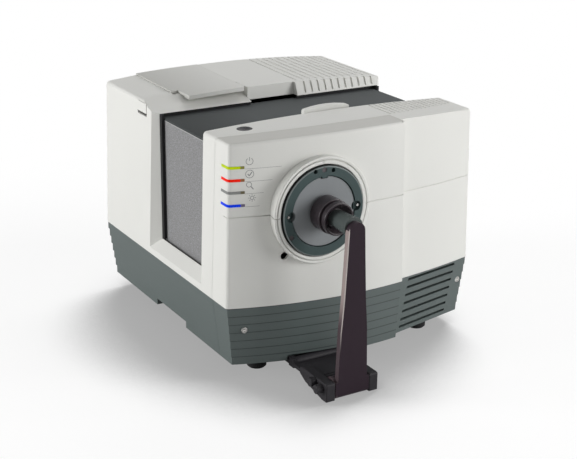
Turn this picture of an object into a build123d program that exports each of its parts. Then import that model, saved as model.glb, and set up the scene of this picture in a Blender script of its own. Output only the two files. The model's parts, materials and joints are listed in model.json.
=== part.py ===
from build123d import *
import os

# Bench sphere colorimeter with a sliding compartment cover, a hinged service lid and a sprung sample clamp.
# Millimetres, +X to the right, +Y to the back, +Z up.  The origin is on the bench under the middle of the
# whole instrument.  Depths are counted backwards from the white cover's front corners.

os.makedirs("parts", exist_ok=True)

# ---------------------------------------------------------------- overall size
BODY_WIDTH = 380.0          # white cover, at its lower edge
BODY_DEPTH = 380.0          # white cover, front corners to rear face
CLAMP_REACH = 110.0         # clamp arm's face, in front of the front corners
REAR_PROUD = 2.0            # sockets and screws behind the rear face
FOOT_HEIGHT = 23.0          # bench to the base's underside
BASE_HEIGHT = 81.0          # banded base
COVER_HEIGHT = 212.5        # white cover, lower edge to its top side edges
FRONT_CROWN = 5.0           # rise of the top from its side edges to its middle, front half
REAR_CROWN = 10.0           # the same at the rear face

# ---------------------------------------------------------------- common clearances
SEAT = 0.15                 # between fixed pieces that only touch
SHAFT_CLEARANCE = 0.05      # radial, pin in its bearing

# ---------------------------------------------------------------- white cover
WALL = 3.0
SIDE_DRAFT = 6.0            # lean of each side, lower edge to top edge
END_DRAFT = 2.4             # lean of the front corners and of the rear face
FRONT_BOW = 35.0            # bow of the front face at its lower edge
TOP_BOW = 28.0              # bow of the front face at its top edge
TOP_EDGE_RADIUS = 5.0
CORNER_RADIUS = 6.0
COLLAR_DEPTH = 69.0         # rear face of the front housing
BEZEL_DEPTH = 39.0          # seam between bezel and collar, at the sides
SEAM_BOW = 28.5             # bow of that seam across the top
STEP_X = 57.0               # bezel's right edge
PANEL_LOW = 23.5            # right panel at the step, in front of the corners, lower edge
PANEL_HIGH = 13.0           # the same at the top edge
PANEL_BULGE = 2.5
MOUTH_DEPTH = 213.0         # rear housing's mouth
MOUTH_TOP = 304.5           # lower edge of the rear housing above the sliding cover
MOUTH_HALF = 176.0          # half width between the side jambs
SILL_LOW = 9.0              # outer edge of the sill's bevel above the cover's lower edge
SILL_RISE = 14.0            # height and width of the sill's bevel
JAMB_RUN = 13.0             # depth of the side jamb's bevel
LID_SLOPE_RUN = 46.0        # sloping top in front of the service lid, depth
BLOCK_SLOPE_RUN = 8.0       # ribbed block's steep front, depth
NOTCH_LEFT = -35.0          # recess that the grip tab slides into
NOTCH_RIGHT = 40.0
NOTCH_RUN = 12.0
RIB_PITCH = 11.4
RIB_COUNT = 12
RIB_GROOVE = 2.4
RIB_GROOVE_DEPTH = 1.2
RIB_X = 48.3                # first groove of the ribbed block
BLOCK_SLOPE_RISE = 18.0     # height of the block's steep front
BLOCK_SLOT_X = 54.0         # first slot in that front
BLOCK_SLOT_WIDTH = 2.8
BLOCK_SLOT_DEEP = 3.5
BLOCK_SLOT_LIFT = 2.5       # solid edge left under the slots
COLLAR_RIB_PITCH = 8.0
COLLAR_RIB_COUNT = 15

# ---------------------------------------------------------------- base
BASE_INSET = 2.0            # base's top edge inside the cover's lower edge
BASE_TAPER = 9.5            # lean of the base's sides, top to bottom
BAND_COUNT = 7
BASE_WALL = 4.0
BASE_FLOOR = 4.0

# ---------------------------------------------------------------- port and clamp
PORT_X = -70.5
PORT_HEIGHT = 224.5
PORT_FACE = 36.0            # port ring's face, in front of the front corners
PORT_RING_DIAMETER = 117.0
PORT_PLATE_DIAMETER = 90.0
PORT_APERTURE = 25.4
MOULDING_DIAMETER = 142.0

# ---------------------------------------------------------------- derived places
BASE_TOP = FOOT_HEIGHT + BASE_HEIGHT
EDGE_Z = BASE_TOP + COVER_HEIGHT
FRONT = -(BODY_DEPTH + REAR_PROUD - CLAMP_REACH) / 2
HALF = BODY_WIDTH / 2
CUT = 500.0                 # larger than anything here


def at(depth):
    """Y of a plane that lies this far behind the white cover's front corners."""
    return FRONT + depth


def save(item, name):
    """Label a finished piece and write it as its own STEP file."""
    item.part.label = name
    export_step(item.part, f"parts/{name}.step")


def block(x0, x1, y0, y1, z0, z1, mode=Mode.ADD):
    """Rectangular block between two opposite corners."""
    with Locations(((x0 + x1) / 2, (y0 + y1) / 2, (z0 + z1) / 2)):
        Box(x1 - x0, y1 - y0, z1 - z0, mode=mode)


def rod_x(x0, x1, y, z, radius, mode=Mode.ADD):
    """Cylinder along X."""
    with Locations(Location(((x0 + x1) / 2, y, z), (0, 90, 0))):
        Cylinder(radius, x1 - x0, mode=mode)


def rod_y(x, y0, y1, z, radius, mode=Mode.ADD):
    """Cylinder along Y."""
    with Locations(Location((x, (y0 + y1) / 2, z), (90, 0, 0))):
        Cylinder(radius, y1 - y0, mode=mode)


def rod_z(x, y, z0, z1, radius, mode=Mode.ADD):
    """Cylinder along Z."""
    with Locations((x, y, (z0 + z1) / 2)):
        Cylinder(radius, z1 - z0, mode=mode)


def prism(plane, points, amount, mode=Mode.ADD):
    """Closed polygon on a plane, extruded."""
    with BuildSketch(plane) as outline:
        with BuildLine():
            Polyline(*points, close=True)
        make_face()
    extrude(outline.sketch, amount=amount, mode=mode)


def prism_x(points, x0, x1, mode=Mode.ADD):
    """Prism along X from (y, z) points."""
    prism(Plane.YZ.offset(x0), points, x1 - x0, mode)


def prism_y(points, y0, y1, mode=Mode.ADD):
    """Prism along Y from (x, z) points."""
    prism(Plane.XZ.offset(-y0), points, -(y1 - y0), mode)


def prism_z(points, z0, z1, mode=Mode.ADD):
    """Prism along Z from (x, y) points."""
    prism(Plane.XY.offset(z0), points, z1 - z0, mode)


def crown_at(depth):
    """Rise of the top's middle above its side edges: even over the front half, then growing to the rear."""
    share = max(0.0, (depth - COLLAR_DEPTH) / (BODY_DEPTH - COLLAR_DEPTH))
    return FRONT_CROWN + (REAR_CROWN - FRONT_CROWN) * share ** 2


def crown_z(x, depth=0.0):
    """Height of the nominal top surface."""
    edge = HALF - SIDE_DRAFT
    return EDGE_Z + crown_at(depth) * (1 - (x / edge) ** 2)


def cover_plan(inset, narrowing, setback, bow):
    """Closed plan outline of the white cover, drawn in the current BuildLine."""
    half = HALF - narrowing - inset
    front = at(setback + inset)
    rear = at(BODY_DEPTH - setback - inset)
    ThreePointArc((-half, front), (0, front - bow), (half, front))
    Polyline((half, front), (half, rear), (-half, rear), (-half, front))


def crown_profile(inset, crown):
    """Front view of the top: an arc over a wide block, drawn in the current BuildLine."""
    edge = HALF - SIDE_DRAFT
    low = EDGE_Z - inset - 8 * crown
    ThreePointArc((-3 * edge, low), (0, EDGE_Z + crown - inset), (3 * edge, low))
    Polyline((3 * edge, low), (3 * edge, -CUT), (-3 * edge, -CUT), (-3 * edge, low))


def cover_blank(inset, sink=0.0):
    """Solid form of the whole white cover, drafted, bowed and crowned, inset all round."""
    with BuildPart() as crown:
        for depth in (-60, COLLAR_DEPTH - 40, COLLAR_DEPTH, 150, MOUTH_DEPTH + 30, 310, BODY_DEPTH,
                      BODY_DEPTH + 20):
            with BuildSketch(Plane.XZ.offset(-at(depth))):
                with BuildLine():
                    crown_profile(inset, crown_at(depth))
                make_face()
        loft()
    with BuildPart() as blank:
        rise = COVER_HEIGHT + REAR_CROWN + 2
        lean = rise / COVER_HEIGHT
        with BuildSketch(Plane.XY.offset(BASE_TOP - sink)):
            with BuildLine():
                cover_plan(inset, 0, 0, FRONT_BOW)
            make_face()
        with BuildSketch(Plane.XY.offset(BASE_TOP + rise)):
            with BuildLine():
                bow = FRONT_BOW - (FRONT_BOW - TOP_BOW) * lean
                cover_plan(inset, SIDE_DRAFT * lean, END_DRAFT * lean, bow)
            make_face()
        loft(ruled=True)
        add(crown.part, mode=Mode.INTERSECT)
    return blank.part


def cover_form(inset):
    """The white cover's outside form with its corners and top edges rounded."""
    form = cover_blank(inset)
    corners = [edge for edge in form.edges() if abs(edge.tangent_at(0.5).Z) > 0.9]
    form = form.fillet(CORNER_RADIUS - inset, corners)
    rim = [e for e in form.edges() if e.center().Z > EDGE_Z - 3 and abs(e.tangent_at(0.5).Z) < 0.5]
    return form.fillet(TOP_EDGE_RADIUS - inset, rim)


def seam_zone(shift, right, mode=Mode.ADD):
    """Everything in front of the bezel's curved seam and left of the plane x = right."""
    rear = at(BEZEL_DEPTH + shift)
    with BuildSketch(Plane.XY) as zone:
        with BuildLine():
            ThreePointArc((-HALF, rear), (0, rear - SEAM_BOW), (HALF, rear))
            Polyline((HALF, rear), (HALF, -CUT), (-CUT, -CUT), (-CUT, rear), (-HALF, rear))
        make_face()
        with Locations((right + CUT / 2, 0)):
            Rectangle(CUT, 3 * CUT, mode=Mode.SUBTRACT)
    extrude(zone.sketch, amount=CUT, mode=mode)


def panel_outline(setback, share):
    """Plan outline of everything in front of the right panel, drawn in the current BuildLine."""
    side = HALF - SIDE_DRAFT * share
    left_depth = setback - PANEL_LOW + (PANEL_LOW - PANEL_HIGH) * share
    right_depth = setback + END_DRAFT * share
    middle_depth = (left_depth + right_depth) / 2 - PANEL_BULGE * (1 + 0.3 * share)
    middle = (STEP_X + side) / 2
    ThreePointArc((STEP_X, at(left_depth)), (middle, at(middle_depth)), (side, at(right_depth)))
    Polyline((side, at(right_depth)), (CUT, at(right_depth)), (CUT, -CUT), (STEP_X, -CUT),
             (STEP_X, at(left_depth)))


def panel_zone(setback, mode=Mode.ADD):
    """Everything in front of the right panel's face, moved back by setback."""
    margin = 20
    sections = []
    over = margin / COVER_HEIGHT
    for height, share in ((BASE_TOP - margin, -over), (EDGE_Z + margin, 1 + over)):
        with BuildSketch(Plane.XY.offset(height)) as section:
            with BuildLine():
                panel_outline(setback, share)
            make_face()
        sections.append(section.sketch)
    loft(sections, ruled=True, mode=mode)


# ---------------------------------------------------------------- white cover
OUTER = cover_form(0)
JAMB_BACK = 232.0           # inside of the side jambs
ROOF_BACK = 262.0           # inside of the sloping roof front
PANEL_GAP = 0.3             # bezel's return wall to the right panel
LID_LEFT = -137.0
LID_RIGHT = -38.0
LID_FRONT = 222.0
LID_REAR = 374.5
LID_THICKNESS = 4.0
LID_PROUD = 2.0
LID_GAP = 0.5
LID_LIP_INSET = 10.5        # lip's left end inside the lid's left edge
LID_LIP_REAR = 258.0
LID_LIP_DROP = 1.5          # lip's underside below the lid's
LID_LIP_SEAT = 238.0        # rear end of the lip's thicker front
FINGER_NOTCH = (4.0, 8.0)   # width and depth of the notch in the lip's right corner
HINGE_DEPTH = 371.0         # service lid's pin
HINGE_DROP = 4.6            # pin below the roof's surface there
HINGE_RADIUS = 2.0
HINGE_BARREL = 3.6
TRAY_LEFT = -130.0
TRAY_RIGHT = -45.0
TRAY_FRONT = 272.0
TRAY_REAR = 356.0
TRAY_LOW = 301.5
BUTTON_X = -136.0
BUTTON_DEPTH = 50.0
BUTTON_DIAMETER = 20.0
BUTTON_GAP = 0.3
GROOVE_Z = 224.0
GROOVE_WIDTH = 1.2
GROOVE_DEEP = 0.9
LATCH = (236.0, 264.0, 296.0, 314.0)
LATCH_SLOT_X = -MOUTH_HALF - 2
REAR_OPENING = (-60.0, 150.0, 130.0, 272.0)
REAR_HOLE_RADIUS = 2.15
REAR_SCREWS = ((-52.0, 122.0), (142.0, 122.0), (-52.0, 281.0), (142.0, 281.0))

with BuildPart() as cavity:
    add(cover_blank(WALL, sink=1))
    block(-CUT, CUT, at(COLLAR_DEPTH - WALL), at(JAMB_BACK), 0, CUT, Mode.SUBTRACT)
    block(-CUT, CUT, at(JAMB_BACK) - 1, at(ROOF_BACK), MOUTH_TOP, CUT, Mode.SUBTRACT)

with BuildPart() as panel_cavity:
    add(cavity.part)
    panel_zone(WALL, Mode.SUBTRACT)

hinge_y = at(HINGE_DEPTH)
hinge_z = crown_z(LID_LEFT, HINGE_DEPTH) - HINGE_DROP

with BuildPart() as roof_grooves:
    for index in range(RIB_COUNT):
        x = RIB_X + RIB_PITCH * index
        block(x - RIB_GROOVE / 2, x + RIB_GROOVE / 2, at(230), at(376.5), EDGE_Z - 20, CUT)
    for index in range(COLLAR_RIB_COUNT):
        x = 62.0 + COLLAR_RIB_PITCH * index
        front = BEZEL_DEPTH - SEAM_BOW * (1 - (x / HALF) ** 2) + 2
        block(x - RIB_GROOVE / 2, x + RIB_GROOVE / 2, at(front), at(COLLAR_DEPTH - 1), EDGE_Z - 20, CUT)
    add(cover_blank(RIB_GROOVE_DEPTH), mode=Mode.SUBTRACT)

with BuildPart() as lid_recess:
    block(LID_LEFT - LID_GAP, LID_RIGHT + LID_GAP, at(200), at(LID_REAR + LID_GAP), EDGE_Z - 30, CUT)
    add(cover_blank(LID_THICKNESS - LID_PROUD + 0.3), mode=Mode.SUBTRACT)

with BuildPart() as latch_recess:
    block(-CUT, 0, at(LATCH[0]), at(LATCH[1]), LATCH[2], LATCH[3])
    add(cover_blank(1.8), mode=Mode.SUBTRACT)

with BuildPart() as hinge_blocks:
    for x in (LID_LEFT - LID_GAP - 9, LID_RIGHT + LID_GAP):
        block(x, x + 9, hinge_y - 7, hinge_y + 6, hinge_z - 7, CUT)
    add(cover_blank(1), mode=Mode.INTERSECT)

with BuildPart() as compartment:
    side = HALF + 30
    sill = BASE_TOP + SILL_LOW
    profile = [(-side, sill), (-HALF, sill), (-MOUTH_HALF, sill + SILL_RISE), (-MOUTH_HALF, BASE_TOP - 1),
               (MOUTH_HALF, BASE_TOP - 1), (MOUTH_HALF, sill + SILL_RISE), (HALF, sill), (side, sill),
               (side, CUT), (-side, CUT)]
    prism_y(profile, at(COLLAR_DEPTH), at(ROOF_BACK))
    jamb = [(-side, at(0)), (side, at(0)), (side, at(MOUTH_DEPTH + JAMB_RUN)),
            (HALF, at(MOUTH_DEPTH + JAMB_RUN)), (MOUTH_HALF, at(MOUTH_DEPTH)),
            (-MOUTH_HALF, at(MOUTH_DEPTH)), (-HALF, at(MOUTH_DEPTH + JAMB_RUN)),
            (-side, at(MOUTH_DEPTH + JAMB_RUN))]
    prism_z(jamb, 0, CUT, Mode.INTERSECT)

with BuildPart() as panel_groove:
    block(STEP_X, HALF - 9, -CUT, at(40), GROOVE_Z - GROOVE_WIDTH / 2, GROOVE_Z + GROOVE_WIDTH / 2)
    panel_zone(GROOVE_DEEP, Mode.INTERSECT)

with BuildPart() as main_cover:
    add(OUTER)
    panel_zone(0, Mode.SUBTRACT)
    add(panel_cavity.part, mode=Mode.SUBTRACT)
    seam_zone(0, STEP_X + PANEL_GAP, Mode.SUBTRACT)
    add(compartment.part, mode=Mode.SUBTRACT)
    block(-MOUTH_HALF, MOUTH_HALF, at(MOUTH_DEPTH) - 5, at(ROOF_BACK) + 2, 0, MOUTH_TOP, Mode.SUBTRACT)
    for sign in (-1, 1):
        inner = (HALF - WALL) * sign
        leg = (MOUTH_HALF + WALL) * sign
        hollow = [(inner, BASE_TOP - 4), (inner, BASE_TOP + 8), (leg, BASE_TOP + 16), (leg, BASE_TOP - 4)]
        prism_y(hollow, at(COLLAR_DEPTH - WALL) - 1, at(JAMB_BACK) + 1, Mode.SUBTRACT)
    slope = [(at(MOUTH_DEPTH) - 60, MOUTH_TOP), (at(MOUTH_DEPTH), MOUTH_TOP),
             (at(MOUTH_DEPTH + LID_SLOPE_RUN), MOUTH_TOP + 16), (at(MOUTH_DEPTH + LID_SLOPE_RUN), CUT),
             (at(MOUTH_DEPTH) - 60, CUT)]
    prism_x(slope, -CUT, NOTCH_LEFT, Mode.SUBTRACT)
    steep = [(at(MOUTH_DEPTH) - 60, MOUTH_TOP), (at(MOUTH_DEPTH), MOUTH_TOP),
             (at(MOUTH_DEPTH + BLOCK_SLOPE_RUN), MOUTH_TOP + BLOCK_SLOPE_RISE),
             (at(MOUTH_DEPTH + BLOCK_SLOPE_RUN), CUT),
             (at(MOUTH_DEPTH) - 60, CUT)]
    prism_x(steep, NOTCH_RIGHT, CUT, Mode.SUBTRACT)
    block(NOTCH_LEFT, NOTCH_RIGHT, at(MOUTH_DEPTH) - 60, at(MOUTH_DEPTH + NOTCH_RUN), MOUTH_TOP - 1, CUT,
          Mode.SUBTRACT)
    slot_low = MOUTH_TOP + BLOCK_SLOT_LIFT
    slot = [(at(MOUTH_DEPTH) - 5, slot_low), (at(MOUTH_DEPTH) + BLOCK_SLOT_DEEP, slot_low),
            (at(MOUTH_DEPTH + BLOCK_SLOPE_RUN) + BLOCK_SLOT_DEEP, MOUTH_TOP + BLOCK_SLOPE_RISE),
            (at(MOUTH_DEPTH + BLOCK_SLOPE_RUN) + BLOCK_SLOT_DEEP, CUT), (at(MOUTH_DEPTH) - 5, CUT)]
    for index in range(RIB_COUNT - 1):
        x = BLOCK_SLOT_X + RIB_PITCH * index
        prism_x(slot, x - BLOCK_SLOT_WIDTH / 2, x + BLOCK_SLOT_WIDTH / 2, Mode.SUBTRACT)
    add(hinge_blocks.part)
    add(roof_grooves.part, mode=Mode.SUBTRACT)
    add(lid_recess.part, mode=Mode.SUBTRACT)
    add(latch_recess.part, mode=Mode.SUBTRACT)
    block(-CUT, LATCH_SLOT_X, at(LATCH[0]) + 1.5, at(LATCH[1]) - 1.5, LATCH[2] + 0.3, LATCH[2] + 2.7,
          Mode.SUBTRACT)
    block(LID_LEFT - LID_GAP, LID_RIGHT + LID_GAP, hinge_y - 6.5, CUT, hinge_z - 7, CUT, Mode.SUBTRACT)
    rod_x(LID_LEFT - 8, LID_RIGHT + 8, hinge_y, hinge_z, HINGE_RADIUS + SHAFT_CLEARANCE, Mode.SUBTRACT)
    block(TRAY_LEFT, TRAY_RIGHT, at(TRAY_FRONT), at(TRAY_REAR), MOUTH_TOP, CUT, Mode.SUBTRACT)
    rod_z(BUTTON_X, at(BUTTON_DEPTH), EDGE_Z - 20, CUT, BUTTON_DIAMETER / 2 + BUTTON_GAP, Mode.SUBTRACT)
    block(REAR_OPENING[0], REAR_OPENING[1], at(BODY_DEPTH) - 30, CUT, REAR_OPENING[2], REAR_OPENING[3],
          Mode.SUBTRACT)
    for x, z in REAR_SCREWS:
        rod_y(x, at(BODY_DEPTH) - 30, CUT, z, REAR_HOLE_RADIUS, Mode.SUBTRACT)
    rod_y(PORT_X, at(COLLAR_DEPTH) - 10, at(COLLAR_DEPTH) + 1, PORT_HEIGHT, 15.3, Mode.SUBTRACT)
    block(-168.5, 168.5, at(COLLAR_DEPTH) - 10, at(COLLAR_DEPTH) + 1, 0, 112.6, Mode.SUBTRACT)
    add(panel_groove.part, mode=Mode.SUBTRACT)
save(main_cover, "main_cover")

# ---------------------------------------------------------------- front bezel
BAR_HEIGHTS = (287.0, 271.0, 255.5, 239.0)
BAR_WIDTH = 3.2
BAR_SIDE_DEPTH = 19.0
BAR_FRONT_X = -166.0
RETURN_WALL = 3.0
BOSS_DEPTH = -29.6          # plane of the moulding round the port ring
BOSS_BACK = -7.0
BOSS_BORE = 47.0
POCKET_RADIUS = 60.4
PORT_RING_BACK = -26.0
SIGHT_HOLE = (-118.0, 168.5, 4.6)

with BuildPart() as return_wall:
    block(STEP_X - RETURN_WALL, STEP_X, -CUT, at(-6), BASE_TOP, CUT)
    add(cover_blank(0.5), mode=Mode.INTERSECT)

with BuildPart() as bezel_groove:
    half = GROOVE_WIDTH / 2
    block(-HALF - 1, -137, -CUT, at(12), GROOVE_Z - half, GROOVE_Z + half)
    block(-6, STEP_X - 1, -CUT, at(12), GROOVE_Z - half, GROOVE_Z + half)
    add(cover_blank(GROOVE_DEEP), mode=Mode.SUBTRACT)

with BuildPart() as port_boss:
    with BuildSketch(Plane.YZ.offset(PORT_X)) as moulding:
        with BuildLine():
            profile = [(BOSS_BACK, BOSS_BORE), (PORT_RING_BACK, BOSS_BORE), (PORT_RING_BACK, POCKET_RADIUS),
                       (BOSS_DEPTH - 2.6, POCKET_RADIUS), (BOSS_DEPTH - 2.6, 65.2), (BOSS_DEPTH, 65.2),
                       (BOSS_DEPTH, 66.8), (BOSS_DEPTH - 1.8, 66.8),
                       (BOSS_DEPTH - 1.8, MOULDING_DIAMETER / 2), (BOSS_BACK, MOULDING_DIAMETER / 2)]
            Polyline(*[(at(depth), PORT_HEIGHT + radius) for depth, radius in profile], close=True)
        make_face()
    revolve(moulding.sketch, axis=Axis((PORT_X, 0, PORT_HEIGHT), (0, 1, 0)))

with BuildPart() as front_bezel:
    add(OUTER)
    add(cavity.part, mode=Mode.SUBTRACT)
    seam_zone(-0.4, STEP_X, Mode.INTERSECT)
    add(return_wall.part)
    rod_y(PORT_X, -CUT, at(0), PORT_HEIGHT, MOULDING_DIAMETER / 2 - 0.5, Mode.SUBTRACT)
    rod_y(PORT_X, -CUT, at(BOSS_DEPTH) - 2, PORT_HEIGHT, MOULDING_DIAMETER / 2, Mode.SUBTRACT)
    add(port_boss.part)
    add(bezel_groove.part, mode=Mode.SUBTRACT)
    for height in BAR_HEIGHTS:
        low = height - BAR_WIDTH / 2 - SEAT
        high = height + BAR_WIDTH / 2 + SEAT
        block(-CUT, BAR_FRONT_X + SEAT, -CUT, at(BAR_SIDE_DEPTH) + SEAT, low, high, Mode.SUBTRACT)
    rod_y(SIGHT_HOLE[0], -CUT, at(0), SIGHT_HOLE[1], SIGHT_HOLE[2], Mode.SUBTRACT)
    tick = GROOVE_WIDTH / 2
    block(PORT_X - MOULDING_DIAMETER / 2 - 0.2, PORT_X - POCKET_RADIUS - 1.2, -CUT, at(BOSS_DEPTH - 1.1),
          GROOVE_Z - tick, GROOVE_Z + tick, Mode.SUBTRACT)
    block(PORT_X - tick, PORT_X + tick, -CUT, at(BOSS_DEPTH - 1.6), PORT_HEIGHT + POCKET_RADIUS + 1,
          PORT_HEIGHT + MOULDING_DIAMETER / 2 - 1, Mode.SUBTRACT)
save(front_bezel, "front_bezel")

# Light bars wrap the front left corner and stand slightly proud.
with BuildPart() as bar_skin:
    add(cover_blank(-0.4))
    fillet([e for e in bar_skin.edges() if abs(e.tangent_at(0.5).Z) > 0.9], CORNER_RADIUS)
    add(cover_blank(WALL), mode=Mode.SUBTRACT)
BAR_NAMES = ("power", "ready", "measure", "lamp")
for label, height in zip(BAR_NAMES, BAR_HEIGHTS):
    with BuildPart() as light_bar:
        block(-CUT, BAR_FRONT_X, -CUT, at(BAR_SIDE_DEPTH), height - BAR_WIDTH / 2, height + BAR_WIDTH / 2)
        add(bar_skin.part, mode=Mode.INTERSECT)
    save(light_bar, f"light_bar_{label}")

with BuildPart() as indicator_board:
    block(-178, -176.4, at(-2), at(24), 232, 294)
    for z in (236, 290):
        rod_x(-CUT, -178, at(14), z, 3)
    add(cover_blank(WALL + SEAT), mode=Mode.INTERSECT)
save(indicator_board, "indicator_board")

# ---------------------------------------------------------------- base
SEAM_DEPTH = 39.0           # split between the base's front and its tray
FLAT_LEFT = (57.0, 52.0)    # left edge of the flat sloping face, top and bottom
VENT_HEIGHTS = (97.8, 86.5, 75.5, 64.0, 52.5, 41.0, 30.5)
VENT_WIDTH = 3.5
GRIP_FRONT = 136.0
GRIP_REAR = 227.0
GRIP_HEIGHT = 9.0
BRACKET_CUT = (-111.0, -30.0, 30.2)
FOOT_X = 129.6
FOOT_DEPTHS = (29.0, 350.0)
FOOT_RADIUS = 13.0
DECK_LOW = 109.0
POST_X = 150.0
POST_DEPTHS = (60.0, 200.0, 348.0)
RIM = BASE_TOP - SEAT
BASE_SCREWS = ((-167.0, 72.6, -4.0, 4.3), (177.0, 71.0, 4.0, 5.0))   # x, z, depth of the seat, seat radius
SCREW_RADIUS = 2.5
SCREW_HOLE_RADIUS = 2.65
FOOT_SEAT = 7.0             # recess under each foot for its screw's head
FOOT_SEAT_RADIUS = 5.5


def base_plan(inset, front_extra):
    """Closed plan outline of one band of the base, drawn in the current BuildLine."""
    half = HALF - inset
    corner = at(0.5 + front_extra)
    rear = at(BODY_DEPTH - inset)
    ThreePointArc((-half, corner), (0, at(-33 + front_extra * 0.2)), (half, corner))
    Polyline((half, corner), (half, rear), (-half, rear), (-half, corner))


def base_flat(setback, mode):
    """Everything in front of the flat sloping face at the right."""
    sections = []
    for z, left, left_depth, right, right_depth in (
            (FOOT_HEIGHT - 5, FLAT_LEFT[1] - 0.3, -20.9, 179.5, 5.8),
            (BASE_TOP + 5, FLAT_LEFT[0] + 0.3, -22.6, 188.5, 0.2)):
        with BuildSketch(Plane.XY.offset(z)) as section:
            with BuildLine():
                Polyline((left, -CUT), (left, at(left_depth + setback)), (right, at(right_depth + setback)),
                         (CUT, at(right_depth + setback)), (CUT, -CUT), close=True)
            make_face()
        sections.append(section.sketch)
    loft(sections, ruled=True, mode=mode)


band_height = (RIM - FOOT_HEIGHT) / BAND_COUNT
with BuildPart() as base_form:
    for band in range(BAND_COUNT):
        step = BASE_TAPER * band / BAND_COUNT
        with BuildSketch(Plane.XY.offset(RIM - band_height * (band + 1))) as plan:
            with BuildLine():
                base_plan(BASE_INSET + step, 4.5 * band / BAND_COUNT)
            make_face()
        extrude(plan.sketch, amount=band_height)

with BuildPart() as base_hollow:
    for z, inset, extra in ((FOOT_HEIGHT + BASE_FLOOR, BASE_INSET + BASE_TAPER + BASE_WALL, 10),
                            (RIM + 1, BASE_INSET + BASE_WALL, 6)):
        with BuildSketch(Plane.XY.offset(z)):
            with BuildLine():
                base_plan(inset, extra)
            make_face()
    loft(ruled=True)
    base_flat(BASE_WALL, Mode.SUBTRACT)

with BuildPart() as base_shell:
    add(base_form.part)
    base_flat(0, Mode.SUBTRACT)
    add(base_hollow.part, mode=Mode.SUBTRACT)
    for x in (-HALF - 10, HALF - 25):
        block(x, x + 35, at(GRIP_FRONT), at(GRIP_REAR), FOOT_HEIGHT - 1, FOOT_HEIGHT + GRIP_HEIGHT,
              Mode.SUBTRACT)
    for x in (-FOOT_X, FOOT_X):
        for depth in FOOT_DEPTHS:
            rod_z(x, at(depth), 0, BASE_TOP, SCREW_HOLE_RADIUS, Mode.SUBTRACT)

with BuildPart() as base_tray:
    add(base_shell.part)
    block(-CUT, CUT, -CUT, at(SEAM_DEPTH) + 0.2, 0, CUT, Mode.SUBTRACT)
    for x in (-POST_X, POST_X):
        for depth in POST_DEPTHS:
            rod_z(x, at(depth), FOOT_HEIGHT + 2, DECK_LOW - SEAT, 6)
save(base_tray, "base_tray")

with BuildPart() as base_front:
    add(base_shell.part)
    block(-CUT, CUT, at(SEAM_DEPTH) - 0.2, CUT, 0, CUT, Mode.SUBTRACT)
    block(BRACKET_CUT[0], BRACKET_CUT[1], -CUT, at(-10), 0, BRACKET_CUT[2], Mode.SUBTRACT)
    for index, z in enumerate(VENT_HEIGHTS):
        block(77 - 2 * index, 167 - 2 * index, at(-40), at(20), z - VENT_WIDTH / 2, z + VENT_WIDTH / 2,
              Mode.SUBTRACT)
    for x, z, seat, radius in BASE_SCREWS:
        rod_y(x, -CUT, at(30), z, SCREW_HOLE_RADIUS, Mode.SUBTRACT)
        rod_y(x, -CUT, at(seat), z, radius, Mode.SUBTRACT)
save(base_front, "base_front")

# Two bright screws hold the base's front section, one of them recessed in the flat face.
with BuildPart() as base_screws:
    for x, z, seat, radius in BASE_SCREWS:
        rod_y(x, at(seat - 2.5), at(seat - 0.1), z, 4)
        rod_y(x, at(seat - 0.1), at(22), z, SCREW_RADIUS)
        block(x - 2.6, x + 2.6, at(seat - 3), at(seat - 1.4), z - 0.5, z + 0.5, Mode.SUBTRACT)
        block(x - 0.5, x + 0.5, at(seat - 3), at(seat - 1.4), z - 2.6, z + 2.6, Mode.SUBTRACT)
save(base_screws, "base_screws")

with BuildPart() as feet:
    for x in (-FOOT_X, FOOT_X):
        for depth in FOOT_DEPTHS:
            rod_z(x, at(depth), 0, FOOT_HEIGHT - SEAT, FOOT_RADIUS)
            rod_z(x, at(depth), 0, FOOT_SEAT, FOOT_SEAT_RADIUS, Mode.SUBTRACT)
            rod_z(x, at(depth), 0, FOOT_HEIGHT, SCREW_HOLE_RADIUS, Mode.SUBTRACT)
    chamfer([e for e in feet.edges() if e.center().Z < 0.1 and e.length > 2 * FOOT_RADIUS * 3], 2)
save(feet, "feet")

with BuildPart() as foot_screws:
    for x in (-FOOT_X, FOOT_X):
        for depth in FOOT_DEPTHS:
            rod_z(x, at(depth), 3.8, FOOT_SEAT - SEAT, FOOT_SEAT_RADIUS - 1)
            rod_z(x, at(depth), FOOT_SEAT - SEAT, 31, SCREW_RADIUS)
            block(x - 0.6, x + 0.6, at(depth) - 3, at(depth) + 3, 3, 4.8, Mode.SUBTRACT)
save(foot_screws, "foot_screws")

# ---------------------------------------------------------------- chassis inside
DECK_THICKNESS = 3.0
DECK_TOP = DECK_LOW + DECK_THICKNESS
STAND = DECK_TOP + SEAT
INNER_HALF = 163.8          # compartment walls and floor, between the slide rails
BULKHEAD_TOP = 295.5
BULKHEAD_WALL = 2.6
REAR_BULKHEAD = 213.0
LENS_RADIUS = 15.0
DECK_HALF = 168.0
DECK_DEPTHS = (6.0, 366.0)
RAIL_DEPTHS = (72.0, 366.0)
RAIL_INNER = 164.3          # rails' inner faces
RAIL_STEP = 116.5           # top of the rails' foot, under the sliding cover
RAIL_TOP = 124.0

with BuildPart() as chassis_deck:
    block(-DECK_HALF, DECK_HALF, at(DECK_DEPTHS[0]), at(DECK_DEPTHS[1]), DECK_LOW, DECK_TOP)
    for x in (-100, 100):
        block(x - 20, x + 20, at(120), at(170), DECK_LOW, DECK_TOP, Mode.SUBTRACT)
    for x in (-POST_X, POST_X):
        for depth in POST_DEPTHS:
            rod_z(x, at(depth), 0, CUT, 1.6, Mode.SUBTRACT)
save(chassis_deck, "chassis_deck")

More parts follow.
